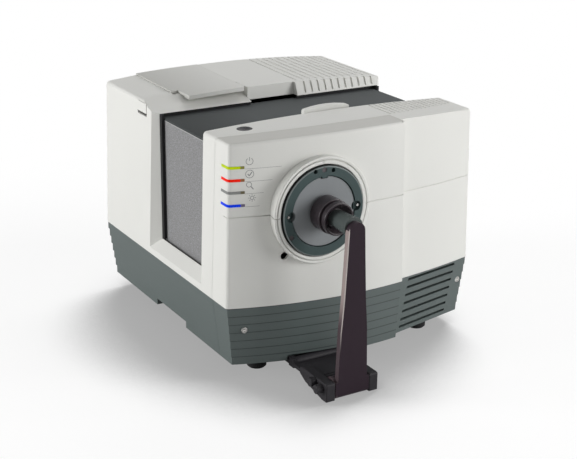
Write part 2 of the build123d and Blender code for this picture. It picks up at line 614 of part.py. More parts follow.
with BuildPart() as slide_rails:
    for sign in (-1, 1):
        for outer, top in ((DECK_HALF, RAIL_TOP), (DECK_HALF + 4, RAIL_STEP)):
            x0, x1 = sorted((RAIL_INNER * sign, outer * sign))
            block(x0, x1, at(RAIL_DEPTHS[0]), at(RAIL_DEPTHS[1]), STAND, top)
save(slide_rails, "slide_rails")

with BuildPart() as compartment_floor:
    block(-INNER_HALF, INNER_HALF, at(72.2), at(212.8), 118, 121)
    for x in (-INNER_HALF + 8, INNER_HALF - 8):
        for depth in (80, 142, 205):
            rod_z(x, at(depth), STAND, 119, 5)
save(compartment_floor, "compartment_floor")

for name, depth in (("front_bulkhead", COLLAR_DEPTH + SEAT), ("rear_bulkhead", REAR_BULKHEAD)):
    with BuildPart() as bulkhead:
        block(-INNER_HALF, INNER_HALF, at(depth), at(depth) + BULKHEAD_WALL, STAND, BULKHEAD_TOP)
        rod_y(PORT_X, at(depth) - 1, at(depth) + 4, PORT_HEIGHT, LENS_RADIUS + 0.3, Mode.SUBTRACT)
    save(bulkhead, name)

with BuildPart() as viewing_lens:
    rod_y(PORT_X, at(COLLAR_DEPTH - WALL) + 0.3, at(COLLAR_DEPTH) - 0.1, PORT_HEIGHT, LENS_RADIUS)
save(viewing_lens, "viewing_lens")

SPECTRO_BOX = (-128.0, 10.0, 242.0, 350.0)
SPECTRO_TOP = 250.0
SPECTRO_WALL = 3.0
with BuildPart() as lens_tube:
    rod_y(PORT_X, at(REAR_BULKHEAD), at(SPECTRO_BOX[2] - 0.2), PORT_HEIGHT, LENS_RADIUS)
    rod_y(PORT_X, at(REAR_BULKHEAD + BULKHEAD_WALL) + SEAT, at(REAR_BULKHEAD + 7), PORT_HEIGHT, LENS_RADIUS + 4)
    rod_y(PORT_X, at(REAR_BULKHEAD - 3), at(SPECTRO_BOX[2] + 3), PORT_HEIGHT, LENS_RADIUS - 3, Mode.SUBTRACT)
save(lens_tube, "lens_tube")

SPHERE_RADIUS = 42.5
SPHERE_WALL = 2.5
SPHERE_DEPTH = 19.5
for name, low, high in (("sphere_front", SPHERE_DEPTH - 60, SPHERE_DEPTH - 0.1),
                        ("sphere_rear", SPHERE_DEPTH + 0.1, SPHERE_DEPTH + 60)):
    with BuildPart() as half_sphere:
        with Locations((PORT_X, at(SPHERE_DEPTH), PORT_HEIGHT)):
            Sphere(SPHERE_RADIUS)
        rod_y(PORT_X, at(SPHERE_DEPTH) - 3, at(SPHERE_DEPTH) + 3, PORT_HEIGHT, SPHERE_RADIUS + 4)
        with Locations((PORT_X, at(SPHERE_DEPTH), PORT_HEIGHT)):
            Sphere(SPHERE_RADIUS - SPHERE_WALL, mode=Mode.SUBTRACT)
        rod_y(PORT_X, at(-60), at(100), PORT_HEIGHT, PORT_APERTURE / 2, Mode.SUBTRACT)
        block(-CUT, CUT, -CUT, at(low), 0, CUT, Mode.SUBTRACT)
        block(-CUT, CUT, at(high), CUT, 0, CUT, Mode.SUBTRACT)
    save(half_sphere, name)

STAND_HALF = 25.0
with BuildPart() as sphere_stand:
    block(PORT_X - STAND_HALF, PORT_X + STAND_HALF, at(22.8), at(26), STAND, 200)
    block(PORT_X - STAND_HALF, PORT_X + STAND_HALF, at(8), at(50), STAND, STAND + 3)
    rod_y(PORT_X, at(20), at(28), PORT_HEIGHT, SPHERE_RADIUS + 0.4, Mode.SUBTRACT)
save(sphere_stand, "sphere_stand")

LAMP_BOX = (22.0, 112.0, 6.0, 60.0)
LAMP_TOP = 196.0
LAMP_WALL = 2.0
LAMP_DEPTH = 33.0
LAMP_Z = 160.0
LAMP_RADIUS = 14.0
BEAM_HOLE_RADIUS = 12.3
with BuildPart() as lamp_housing:
    block(LAMP_BOX[0], LAMP_BOX[1], at(LAMP_BOX[2]), at(LAMP_BOX[3]), STAND, LAMP_TOP)
    block(LAMP_BOX[0] + LAMP_WALL, LAMP_BOX[1] - LAMP_WALL, at(LAMP_BOX[2] + LAMP_WALL),
          at(LAMP_BOX[3] - LAMP_WALL), STAND - 1, LAMP_TOP - LAMP_WALL, Mode.SUBTRACT)
    rod_x(LAMP_BOX[0] - 2, LAMP_BOX[0] + 4, at(LAMP_DEPTH), LAMP_Z, BEAM_HOLE_RADIUS, Mode.SUBTRACT)
save(lamp_housing, "lamp_housing")
with BuildPart() as flash_lamp:
    rod_x(60, 100, at(LAMP_DEPTH), LAMP_Z, LAMP_RADIUS)
    rod_x(44, 62, at(LAMP_DEPTH), LAMP_Z, LAMP_RADIUS - 5)
    block(66, 94, at(LAMP_DEPTH - 8), at(LAMP_DEPTH + 8), STAND, LAMP_Z - 10)
save(flash_lamp, "flash_lamp")

with BuildPart() as spectrograph_box:
    x0, x1, front, rear = SPECTRO_BOX
    block(x0, x1, at(front), at(rear), STAND, SPECTRO_TOP)
    block(x0 + SPECTRO_WALL, x1 - SPECTRO_WALL, at(front + SPECTRO_WALL), at(rear - SPECTRO_WALL),
          STAND + SPECTRO_WALL, CUT, Mode.SUBTRACT)
    rod_y(PORT_X, at(front) - 2, at(front) + 5, PORT_HEIGHT, BEAM_HOLE_RADIUS, Mode.SUBTRACT)
save(spectrograph_box, "spectrograph_box")
with BuildPart() as spectrograph_cover:
    inset = SPECTRO_WALL + 0.5
    block(x0, x1, at(front), at(rear), SPECTRO_TOP + SEAT, SPECTRO_TOP + 2)
    block(x0 + inset, x1 - inset, at(front + inset), at(rear - inset), SPECTRO_TOP - 2, SPECTRO_TOP + 1)
save(spectrograph_cover, "spectrograph_cover")
with BuildPart() as detector_board:
    face = SPECTRO_BOX[1] + 1.8
    block(SPECTRO_BOX[1] + SEAT, face, at(262), at(332), 180, 236)
    block(face, face + 3.2, at(276), at(298), 200, 216)
    block(face, face + 2.2, at(306), at(324), 190, 226)
save(detector_board, "detector_board")
BOARD_Z = 40.0
with BuildPart() as main_board:
    block(-140, 140, at(80), at(240), BOARD_Z, BOARD_Z + 1.6)
    for x in (-130, 130):
        for depth in (90, 230):
            rod_z(x, at(depth), FOOT_HEIGHT + BASE_FLOOR + SEAT, BOARD_Z + 0.5, 4)
    for x in (-100, -40, 20, 80):
        block(x, x + 24, at(110), at(134), BOARD_Z + 1, BOARD_Z + 4)
        block(x, x + 34, at(170), at(190), BOARD_Z + 1, BOARD_Z + 12)
save(main_board, "main_board")
SUPPLY_BOX = (40.0, 150.0, 236.0, 330.0)
SUPPLY_TOP = 176.0
with BuildPart() as power_supply:
    x0, x1, front, rear = SUPPLY_BOX
    block(x0, x1, at(front), at(rear), STAND, SUPPLY_TOP)
    for index in range(6):
        slot_front = at(front + 20 + 10 * index)
        block(x0 + 20, x1 - 20, slot_front, slot_front + 4, SUPPLY_TOP - 6, CUT, Mode.SUBTRACT)
save(power_supply, "power_supply")

FAN_X = 100.0
FAN_Z = 222.0
FAN_FRONT = 351.0
FAN_BACK = 371.35
FAN_HALF = 40.0
FAN_BORE = 37.0
FAN_BAR_HALF = 2.5          # half width of the bars that carry the hub
FAN_SHAFT_RADIUS = 3.0
FAN_BLADES = 7
FAN_BLADE_ANGLE = 35.0
with BuildPart() as cooling_fan:
    block(FAN_X - FAN_HALF, FAN_X + FAN_HALF, at(FAN_FRONT), at(FAN_BACK), FAN_Z - FAN_HALF, FAN_Z + FAN_HALF)
    rod_y(FAN_X, at(FAN_FRONT) - 1, at(FAN_BACK) + 1, FAN_Z, FAN_BORE, Mode.SUBTRACT)
    rod_y(FAN_X, at(FAN_FRONT), at(FAN_FRONT + 3), FAN_Z, 14)
    for wide, high in ((FAN_BORE + 1, FAN_BAR_HALF), (FAN_BAR_HALF, FAN_BORE + 1)):
        block(FAN_X - wide, FAN_X + wide, at(FAN_FRONT), at(FAN_FRONT + 3), FAN_Z - high, FAN_Z + high)
    rod_y(FAN_X, at(FAN_FRONT), at(FAN_BACK - 5), FAN_Z, FAN_SHAFT_RADIUS)
save(cooling_fan, "cooling_fan")
with BuildPart() as fan_rotor:
    rod_y(FAN_X, at(FAN_FRONT + 3.6), at(FAN_BACK - 2.5), FAN_Z, 13)
    for index in range(FAN_BLADES):
        turn = 360 / FAN_BLADES * index
        with Locations(Location((FAN_X, at(FAN_FRONT + 10.5), FAN_Z), (0, turn, 0))):
            with Locations(Location((24, 0, 0), (FAN_BLADE_ANGLE, 0, 0))):
                Box(24, 2, 15)
    rod_y(FAN_X, at(FAN_FRONT), at(FAN_BACK - 4.6), FAN_Z, FAN_SHAFT_RADIUS + SHAFT_CLEARANCE, Mode.SUBTRACT)
save(fan_rotor, "fan_rotor")

# ---------------------------------------------------------------- rear panel and its fittings
PANEL_FRONT = 371.5
INLET = (-34.0, 160.0)
ROCKER = (4.0, 160.0)
ROCKER_DEPTH = 374.2
ROCKER_PIN_RADIUS = 1.5
INLET_HALF = (14.0, 12.0)   # half width and half height of the inlet's body
DATA_BLOCK = (30.0, 80.0, 150.0, 170.0)
DATA_SOCKETS = ((34.0, 48.0, 153.0, 166.0), (60.0, 72.0, 155.0, 165.0))
with BuildPart() as rear_panel:
    block(REAR_OPENING[0] - 8, REAR_OPENING[1] + 8, at(PANEL_FRONT), CUT, REAR_OPENING[2] - 14,
          REAR_OPENING[3] + 15)
    add(cover_blank(WALL + SEAT), mode=Mode.INTERSECT)
    block(INLET[0] - INLET_HALF[0] - 0.3, INLET[0] + INLET_HALF[0] + 0.3, at(360), CUT,
          INLET[1] - INLET_HALF[1] - 0.3, INLET[1] + INLET_HALF[1] + 0.3, Mode.SUBTRACT)
    block(ROCKER[0] - 6.4, ROCKER[0] + 6.4, at(360), CUT, ROCKER[1] - 10.4, ROCKER[1] + 10.4, Mode.SUBTRACT)
    rod_x(ROCKER[0] - 9.6, ROCKER[0] + 9.6, at(ROCKER_DEPTH), ROCKER[1], ROCKER_PIN_RADIUS + SHAFT_CLEARANCE,
          Mode.SUBTRACT)
    x0, x1, z0, z1 = DATA_BLOCK
    block(x0 - 0.3, x1 + 0.3, at(360), CUT, z0 - 0.3, z1 + 0.3, Mode.SUBTRACT)
    for x, z in REAR_SCREWS:
        rod_y(x, at(360), CUT, z, REAR_HOLE_RADIUS, Mode.SUBTRACT)
    for row in range(9):
        half = 36 - abs(row - 4) * 4.5
        z = FAN_Z - 28 + 7 * row
        block(FAN_X - half, FAN_X + half, at(360), CUT, z - 1.8, z + 1.8, Mode.SUBTRACT)
save(rear_panel, "rear_panel")
with BuildPart() as power_inlet:
    for extra, back in ((0, at(379.5)), (2, at(PANEL_FRONT) - SEAT)):
        block(INLET[0] - INLET_HALF[0] - extra, INLET[0] + INLET_HALF[0] + extra, at(352), back,
              INLET[1] - INLET_HALF[1] - extra, INLET[1] + INLET_HALF[1] + extra)
    block(INLET[0] - 11.5, INLET[0] + 11.5, at(364), CUT, INLET[1] - 8, INLET[1] + 8, Mode.SUBTRACT)
    for x, z in ((-7, 2), (7, 2), (0, -3)):
        block(INLET[0] + x - 1, INLET[0] + x + 1, at(363), at(372), INLET[1] + z - 2.5, INLET[1] + z + 2.5)
save(power_inlet, "power_inlet")
with BuildPart() as power_rocker:
    rocker = [(-5.6, -9.0), (4.6, -9.0), (3.2, 0.0), (4.6, 9.0), (-5.6, 9.0), (-6.0, 0.0)]
    points = [(at(ROCKER_DEPTH) + y, ROCKER[1] + z) for y, z in rocker]
    prism_x(points, ROCKER[0] - 6, ROCKER[0] + 6)
    rod_x(ROCKER[0] - 9.3, ROCKER[0] + 9.3, at(ROCKER_DEPTH), ROCKER[1], ROCKER_PIN_RADIUS)
save(power_rocker, "power_rocker")
with BuildPart() as data_ports:
    x0, x1, z0, z1 = DATA_BLOCK
    block(x0, x1, at(354), at(379), z0, z1)
    block(x0 - 3, x1 + 3, at(354), at(PANEL_FRONT) - SEAT, z0 - 3, z1 + 3)
    for left, right, low, high in DATA_SOCKETS:
        block(left, right, at(366), CUT, low, high, Mode.SUBTRACT)
save(data_ports, "data_ports")
with BuildPart() as rear_panel_screws:
    for x, z in REAR_SCREWS:
        seat = BODY_DEPTH - END_DRAFT * (z - 6 - BASE_TOP) / COVER_HEIGHT + 0.1
        rod_y(x, at(362), at(seat), z, 2)
        rod_y(x, at(seat), at(seat + 2), z, 3.8)
        block(x - 2.4, x + 2.4, at(seat + 1.2), CUT, z - 0.5, z + 0.5, Mode.SUBTRACT)
        block(x - 0.5, x + 0.5, at(seat + 1.2), CUT, z - 2.4, z + 2.4, Mode.SUBTRACT)
save(rear_panel_screws, "rear_panel_screws")

# ---------------------------------------------------------------- service lid, tray under it, latch, button
with BuildPart() as lid_lip:
    block(LID_LEFT + LID_LIP_INSET, LID_RIGHT, at(LID_FRONT), at(LID_LIP_SEAT), EDGE_Z - 30, CUT)
    add(cover_blank(-LID_PROUD), mode=Mode.INTERSECT)
    add(cover_blank(LID_THICKNESS - LID_PROUD + LID_LIP_DROP), mode=Mode.SUBTRACT)

with BuildPart() as service_lid:
    block(LID_LEFT, LID_RIGHT, at(LID_FRONT), at(LID_REAR), EDGE_Z - 30, CUT)
    add(cover_blank(-LID_PROUD), mode=Mode.INTERSECT)
    add(cover_blank(LID_THICKNESS - LID_PROUD), mode=Mode.SUBTRACT)
    block(LID_LEFT - 1, LID_LEFT + LID_LIP_INSET, at(LID_FRONT) - 1, at(LID_LIP_REAR), 0, CUT, Mode.SUBTRACT)
    add(lid_lip.part)
    block(LID_RIGHT - FINGER_NOTCH[0], LID_RIGHT + 1, at(LID_FRONT) - 1, at(LID_FRONT) + FINGER_NOTCH[1],
          0, CUT, Mode.SUBTRACT)
    rod_x(LID_LEFT, LID_RIGHT, hinge_y, hinge_z, HINGE_BARREL)
    block(LID_LEFT, LID_RIGHT, hinge_y - 1.5, hinge_y + 1.5, hinge_z, crown_z(LID_LEFT, HINGE_DEPTH))
    rod_x(LID_LEFT - 1, LID_RIGHT + 1, hinge_y, hinge_z, HINGE_RADIUS + SHAFT_CLEARANCE, Mode.SUBTRACT)
save(service_lid, "service_lid")
with BuildPart() as lid_hinge_pin:
    rod_x(LID_LEFT - 7.5, LID_RIGHT + 7.5, hinge_y, hinge_z, HINGE_RADIUS)
save(lid_hinge_pin, "lid_hinge_pin")

with BuildPart() as storage_tray:
    block(TRAY_LEFT - 3, TRAY_RIGHT + 3, at(TRAY_FRONT - 3), at(TRAY_REAR + 3), TRAY_LOW, CUT)
    add(cover_blank(WALL + SEAT), mode=Mode.INTERSECT)
    block(TRAY_LEFT, TRAY_RIGHT, at(TRAY_FRONT), at(TRAY_REAR), TRAY_LOW + 2, CUT, Mode.SUBTRACT)
save(storage_tray, "storage_tray")

with BuildPart() as side_latch:
    block(-CUT, 0, at(LATCH[0]) + 0.2, at(LATCH[1]) - 0.2, LATCH[2] + 3, LATCH[3] - 0.2)
    add(cover_blank(-0.8), mode=Mode.INTERSECT)
    add(cover_blank(1.8 - SEAT), mode=Mode.SUBTRACT)
save(side_latch, "side_latch")

with BuildPart() as read_button:
    top = crown_z(BUTTON_X, BUTTON_DEPTH)
    rod_z(BUTTON_X, at(BUTTON_DEPTH), top - 7, top - 0.3, BUTTON_DIAMETER / 2)
    rod_z(BUTTON_X, at(BUTTON_DEPTH), top - 9, top - 6, BUTTON_DIAMETER / 2 - 3)
    with Locations((BUTTON_X, at(BUTTON_DEPTH), top + 17)):
        Sphere(19, mode=Mode.SUBTRACT)
save(read_button, "read_button")
with BuildPart() as read_switch:
    block(BUTTON_X - 12, BUTTON_X + 12, at(BUTTON_DEPTH - 8), at(COLLAR_DEPTH - WALL) - SEAT, 290, 303)
    rod_z(BUTTON_X, at(BUTTON_DEPTH), 302, top - 11.3, 4)
save(read_switch, "read_switch")

# ---------------------------------------------------------------- sliding compartment cover
COVER_HALF = 171.5
COVER_TOP = 299.4
COVER_FRONT = 72.0
COVER_REAR = 224.0
COVER_SIDE = 3.0
COVER_SIDE_TOP = 296.6
COVER_SIDE_LOW = 116.8
HANDLE_X = 2.0
HANDLE_HALF = 34.5
HANDLE_DEPTHS = (76.0, 84.0)
HANDLE_SIDE_TOP = 323.0
HANDLE_TOP = 326.5
with BuildPart() as cover_top:
    block(-COVER_HALF, COVER_HALF, at(COVER_FRONT), at(COVER_REAR), COVER_SIDE_TOP + 0.2, COVER_TOP)
    fillet(cover_top.edges().filter_by(Axis.Y).group_by(Axis.Z)[-1], 1.5)
    chamfer(cover_top.edges().filter_by(Axis.X).group_by(Axis.Z)[-1], 0.8)
    with BuildSketch(Plane.XZ.offset(-at(COVER_FRONT) + 1)) as hollow:
        with Locations((0, (COVER_SIDE_TOP + COVER_TOP) / 2 - 3)):
            Rectangle(2 * COVER_HALF - 2 * COVER_SIDE, COVER_TOP - COVER_SIDE_TOP)
    extrude(hollow.sketch, amount=-(COVER_REAR - COVER_FRONT + 2), mode=Mode.SUBTRACT)
save(cover_top, "cover_top")
for name, sign in (("cover_side_left", -1), ("cover_side_right", 1)):
    with BuildPart() as cover_side:
        x0, x1 = sorted(((COVER_HALF - COVER_SIDE) * sign, COVER_HALF * sign))
        block(x0, x1, at(COVER_FRONT), at(COVER_REAR), COVER_SIDE_LOW, COVER_SIDE_TOP)
    save(cover_side, name)
with BuildPart() as cover_handle:
    with BuildSketch(Plane.XZ.offset(-at(HANDLE_DEPTHS[0]))) as tab:
        with BuildLine():
            low = COVER_TOP + SEAT
            left = HANDLE_X - HANDLE_HALF
            right = HANDLE_X + HANDLE_HALF
            Polyline((left, HANDLE_SIDE_TOP), (left, low), (right, low), (right, HANDLE_SIDE_TOP))
            ThreePointArc((left, HANDLE_SIDE_TOP), (HANDLE_X, HANDLE_TOP), (right, HANDLE_SIDE_TOP))
        make_face()
    extrude(tab.sketch, amount=-(HANDLE_DEPTHS[1] - HANDLE_DEPTHS[0]))
    fillet(cover_handle.edges().filter_by(Axis.Y).group_by(Axis.Z)[-1], 3)
save(cover_handle, "cover_handle")

# Black seals fill the gap between the mouth and the sliding cover.
for name, sign in (("mouth_seal_left", -1), ("mouth_seal_right", 1)):
    inner = NOTCH_LEFT - 0.2 if sign < 0 else NOTCH_RIGHT + 0.2
    with BuildPart() as seal:
        x0, x1 = sorted(((COVER_HALF + 0.5) * sign, (MOUTH_HALF - SEAT) * sign))
        block(x0, x1, at(207), at(219), 128, MOUTH_TOP - SEAT)
        x0, x1 = sorted(((COVER_HALF + 0.5) * sign, inner))
        block(x0, x1, at(MOUTH_DEPTH + 3), at(219), COVER_TOP + 0.5, MOUTH_TOP - SEAT)
    save(seal, name)

# ---------------------------------------------------------------- port ring and plate
RING_FRONT = -PORT_FACE
PLATE_FRONT = RING_FRONT + 1.5
PLATE_BACK = -28.0
PLATE_GAP = 1.2             # visible gap round the plate
KEY_HALF = 4.0              # ring's key tab at the top of the plate
KEY_LOW = 43.8
NOTCH_REACH = 47.5          # round notch in the plate, from the port's axis
NOTCH_RADIUS = 6.5
RING_HOLES = ((-84.3, 277.9), (-58.5, 276.6))
RING_SCREWS = ((-71.4, 278.8), (-117.4, 197.5), (-23.6, 197.5))
RING_BORE = 40.0
PIN_OFFSET = 3.0            # small pins beyond the middle of the plate's round notches
with BuildPart() as port_ring:
    rod_y(PORT_X, at(RING_FRONT), at(PORT_RING_BACK) - SEAT, PORT_HEIGHT, PORT_RING_DIAMETER / 2)
    chamfer(port_ring.edges().filter_by(GeomType.CIRCLE).group_by(Axis.Y)[0], 1.2)
    rod_y(PORT_X, at(-60), at(PLATE_BACK), PORT_HEIGHT, PORT_PLATE_DIAMETER / 2 + PLATE_GAP, Mode.SUBTRACT)
    block(PORT_X - KEY_HALF, PORT_X + KEY_HALF, at(RING_FRONT), at(PLATE_BACK), PORT_HEIGHT + KEY_LOW,
          PORT_HEIGHT + PORT_PLATE_DIAMETER / 2 + PLATE_GAP + 2)
    rod_y(PORT_X, at(-60), at(0), PORT_HEIGHT, RING_BORE, Mode.SUBTRACT)
    for x, z in RING_HOLES:
        rod_y(x, at(-60), at(-30), z, 2.8, Mode.SUBTRACT)
    for x, z in RING_SCREWS:
        rod_y(x, at(-60), at(RING_FRONT + 2.2), z, 3.4, Mode.SUBTRACT)
        rod_y(x, at(-60), at(0), z, 1.65, Mode.SUBTRACT)
    for sign in (-1, 1):
        rod_y(PORT_X + NOTCH_REACH * sign, at(-60), at(-31), PORT_HEIGHT, NOTCH_RADIUS, Mode.SUBTRACT)
        rod_y(PORT_X + (NOTCH_REACH + PIN_OFFSET) * sign, at(-60), at(-20), PORT_HEIGHT, 1.55, Mode.SUBTRACT)
save(port_ring, "port_ring")
with BuildPart() as port_plate:
    rod_y(PORT_X, at(PLATE_FRONT), at(PLATE_BACK) - SEAT, PORT_HEIGHT, PORT_PLATE_DIAMETER / 2)
    block(PORT_X - KEY_HALF - PLATE_GAP, PORT_X + KEY_HALF + PLATE_GAP, at(-60), at(0),
          PORT_HEIGHT + KEY_LOW - PLATE_GAP, PORT_HEIGHT + PORT_PLATE_DIAMETER, Mode.SUBTRACT)
    for sign in (-1, 1):
        rod_y(PORT_X + NOTCH_REACH * sign, at(-60), at(0), PORT_HEIGHT, NOTCH_RADIUS, Mode.SUBTRACT)
    rod_y(PORT_X, at(-60), at(0), PORT_HEIGHT, PORT_APERTURE / 2, Mode.SUBTRACT)
    chamfer([e for e in port_plate.edges().filter_by(GeomType.CIRCLE)
             if abs(e.radius - PORT_APERTURE / 2) < 0.01 and e.center().Y > at(-30)], 3)
save(port_plate, "port_plate")
with BuildPart() as port_screws:
    for x, z in RING_SCREWS:
        rod_y(x, at(RING_FRONT + 0.4), at(RING_FRONT + 2.1), z, 3.1)
        rod_y(x, at(RING_FRONT + 2.1), at(PORT_RING_BACK) - SEAT, z, 1.5)
        block(x - 2, x + 2, at(RING_FRONT), at(RING_FRONT + 1.1), z - 0.4, z + 0.4, Mode.SUBTRACT)
save(port_screws, "port_screws")
with BuildPart() as port_pins:
    for sign in (-1, 1):
        x = PORT_X + (NOTCH_REACH + PIN_OFFSET) * sign
        rod_y(x, at(-34.4), at(PORT_RING_BACK) - SEAT, PORT_HEIGHT, 1.5)
save(port_pins, "port_pins")

# ---------------------------------------------------------------- sample clamp
ARM_FACE = -CLAMP_REACH
ARM_THICKNESS = 8.0
PIVOT_DEPTH = ARM_FACE + 12
PIVOT_Z = 17.7
PIVOT_PIN_RADIUS = 4.0
FOOT_HALF = 24.8
CHEEK_INNER = 25.2
CHEEK_OUTER = 38.5
CHEEK_LOW = 2.5
CHEEK_TOP = 26.5
PIN_HEAD_RADIUS = 6.0
STOP_DEPTH = PIVOT_DEPTH + 16
STOP_Z = 20.5
ROD_DEPTH = -25.0
ROD_Z = 22.2
ROD_RADIUS = 6.0
ROD_END_RADIUS = 3.0
ARM_WIDTHS = ((20.0, 43.0), (91.0, 38.5), (134.0, 31.5), (184.0, 26.5), (221.5, 23.0))
ARM_TOP_RADIUS = 11.5
SHAFT_LENGTH = 39.7
SHAFT_FRONT = ARM_FACE + ARM_THICKNESS + SEAT
SHAFT_TIP_RADIUS = 5.0
TONGUE_HALF = 32.2          # half width of the bracket's opening for the cross rod
TONGUE_DEPTHS = (-33.5, -16.5)
KEEL = ((ARM_FACE + 12, CHEEK_LOW - 1), (ARM_FACE + 12, CHEEK_LOW + 0.5), (-60, 10), (-46, 17.2),
        (-40, CHEEK_LOW - 1))
PAD_PROFILE = ((-34.8, 0.0), (-34.8, 19.5), (-38.0, 19.5), (-38.0, 22.5), (-59.0, 22.5), (-59.0, 18.5),
               (-62.5, 18.5), (-62.5, 21.2), (-70.0, 21.2), (-70.0, 0.0))

with BuildPart() as clamp_arm:
    with BuildSketch(Plane.XZ.offset(-at(ARM_FACE))) as face:
        with BuildLine():
            left = [(PORT_X - width / 2, z) for z, width in ARM_WIDTHS]
            right = [(PORT_X + width / 2, z) for z, width in reversed(ARM_WIDTHS)]
            Polyline(right[0], *right[1:], (PORT_X + 20, 8), (PORT_X - 20, 8), *left)
            ThreePointArc(left[-1], (PORT_X, ARM_WIDTHS[-1][0] + ARM_TOP_RADIUS), right[0])
        make_face()
    extrude(face.sketch, amount=-ARM_THICKNESS)
    block(PORT_X - FOOT_HALF, PORT_X + FOOT_HALF, at(ARM_FACE), at(PIVOT_DEPTH), CHEEK_LOW, CHEEK_TOP - 1)
    fillet([e for e in clamp_arm.edges().filter_by(Axis.X) if e.center().Z < CHEEK_LOW + 0.1
            and e.center().Y < at(ARM_FACE) + 0.1], 6)
    rod_x(PORT_X - FOOT_HALF, PORT_X + FOOT_HALF, at(PIVOT_DEPTH), PIVOT_Z, 11.3)
    rod_x(PORT_X - 50, PORT_X + 50, at(PIVOT_DEPTH), PIVOT_Z, PIVOT_PIN_RADIUS + SHAFT_CLEARANCE, Mode.SUBTRACT)
save(clamp_arm, "clamp_arm")
with BuildPart() as clamp_shaft:
    with Locations(Location((PORT_X, at(SHAFT_FRONT + SHAFT_LENGTH / 2), PORT_HEIGHT), (90, 0, 0))):
        Cone(11, 13, SHAFT_LENGTH)
    rod_y(PORT_X, at(SHAFT_FRONT + SHAFT_LENGTH), at(-52), PORT_HEIGHT, SHAFT_TIP_RADIUS)
save(clamp_shaft, "clamp_shaft")
with BuildPart() as clamp_pad:
    with BuildSketch(Plane.YZ.offset(PORT_X)) as pad_section:
        with BuildLine():
            Polyline(*[(at(depth), PORT_HEIGHT + radius) for depth, radius in PAD_PROFILE], close=True)
        make_face()
    revolve(pad_section.sketch, axis=Axis((PORT_X, 0, PORT_HEIGHT), (0, 1, 0)))
    fillet(clamp_pad.edges().filter_by(GeomType.CIRCLE).filter_by(lambda e: e.radius > 20), 0.8)
    with Locations(Location((PORT_X, at(-66), PORT_HEIGHT), (90, 0, 0))):
        Cone(12, 19, 8, mode=Mode.SUBTRACT)
    rod_y(PORT_X, at(-63), at(-51), PORT_HEIGHT, SHAFT_TIP_RADIUS + 0.1, Mode.SUBTRACT)
    rod_y(PORT_X, at(-39), at(-30), PORT_HEIGHT, 13, Mode.SUBTRACT)
save(clamp_pad, "clamp_pad")

with BuildPart() as clamp_bracket:
    for sign in (-1, 1):
        x0, x1 = sorted((PORT_X + CHEEK_INNER * sign, PORT_X + CHEEK_OUTER * sign))
        block(x0, x1, at(ARM_FACE), at(-46), CHEEK_LOW, CHEEK_TOP)
    fillet([e for e in clamp_bracket.edges().filter_by(Axis.X) if e.center().Z > CHEEK_TOP - 0.1], 3)
    chamfer(clamp_bracket.faces().sort_by(Axis.Y)[:2].edges().filter_by(Axis.Z), 1)
    prism_x([(at(depth), z) for depth, z in KEEL], PORT_X - CUT, PORT_X + CUT, Mode.SUBTRACT)
    block(PORT_X - CHEEK_OUTER, PORT_X + CHEEK_OUTER, at(-77), at(20), 18, FOOT_HEIGHT - SEAT)
    block(PORT_X - TONGUE_HALF, PORT_X + TONGUE_HALF, at(TONGUE_DEPTHS[0]), at(TONGUE_DEPTHS[1]), 10, 30,
          Mode.SUBTRACT)
    for sign in (-1, 1):
        x0, x1 = sorted((PORT_X + TONGUE_HALF * sign, PORT_X + CHEEK_OUTER * sign))
        block(x0, x1, at(-31), at(-19), 16, 28.4)
    rod_x(PORT_X - 50, PORT_X + 50, at(PIVOT_DEPTH), PIVOT_Z, PIVOT_PIN_RADIUS + SHAFT_CLEARANCE, Mode.SUBTRACT)
    rod_x(PORT_X - 50, PORT_X + 50, at(STOP_DEPTH), STOP_Z, PIVOT_PIN_RADIUS + SHAFT_CLEARANCE, Mode.SUBTRACT)
    rod_x(PORT_X - 50, PORT_X + 50, at(ROD_DEPTH), ROD_Z, ROD_END_RADIUS + SHAFT_CLEARANCE, Mode.SUBTRACT)
save(clamp_bracket, "clamp_bracket")

PINS = (("clamp_pivot_pin", PIVOT_DEPTH, PIVOT_Z, 9.0), ("clamp_stop_pin", STOP_DEPTH, STOP_Z, 8.0))
for name, depth, z, proud in PINS:
    with BuildPart() as pin:
        rod_x(PORT_X - CHEEK_OUTER - 1, PORT_X + CHEEK_OUTER, at(depth), z, PIVOT_PIN_RADIUS)
        rod_x(PORT_X - CHEEK_OUTER - proud, PORT_X - CHEEK_OUTER - SEAT, at(depth), z, PIN_HEAD_RADIUS)
        head = pin.edges().filter_by(GeomType.CIRCLE).sort_by(Axis.X)[0]
        fillet(head, 1)
    save(pin, name)
with BuildPart() as clamp_cross_rod:
    rod_x(PORT_X - TONGUE_HALF + 0.3, PORT_X + TONGUE_HALF - 0.3, at(ROD_DEPTH), ROD_Z, ROD_RADIUS)
    rod_x(PORT_X - CHEEK_OUTER, PORT_X + CHEEK_OUTER, at(ROD_DEPTH), ROD_Z, ROD_END_RADIUS)
save(clamp_cross_rod, "clamp_cross_rod")
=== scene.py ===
"""Dressed scene of a bench sphere colorimeter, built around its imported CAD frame."""
import json
import logging
import math
from dataclasses import dataclass, field
from enum import Enum
from functools import cache
from typing import Callable, Optional, Sequence, Union

import bmesh
import bpy
from bmesh.types import BMesh, BMFace, BMVert
from mathutils import Matrix, Vector
from mathutils.bvhtree import BVHTree

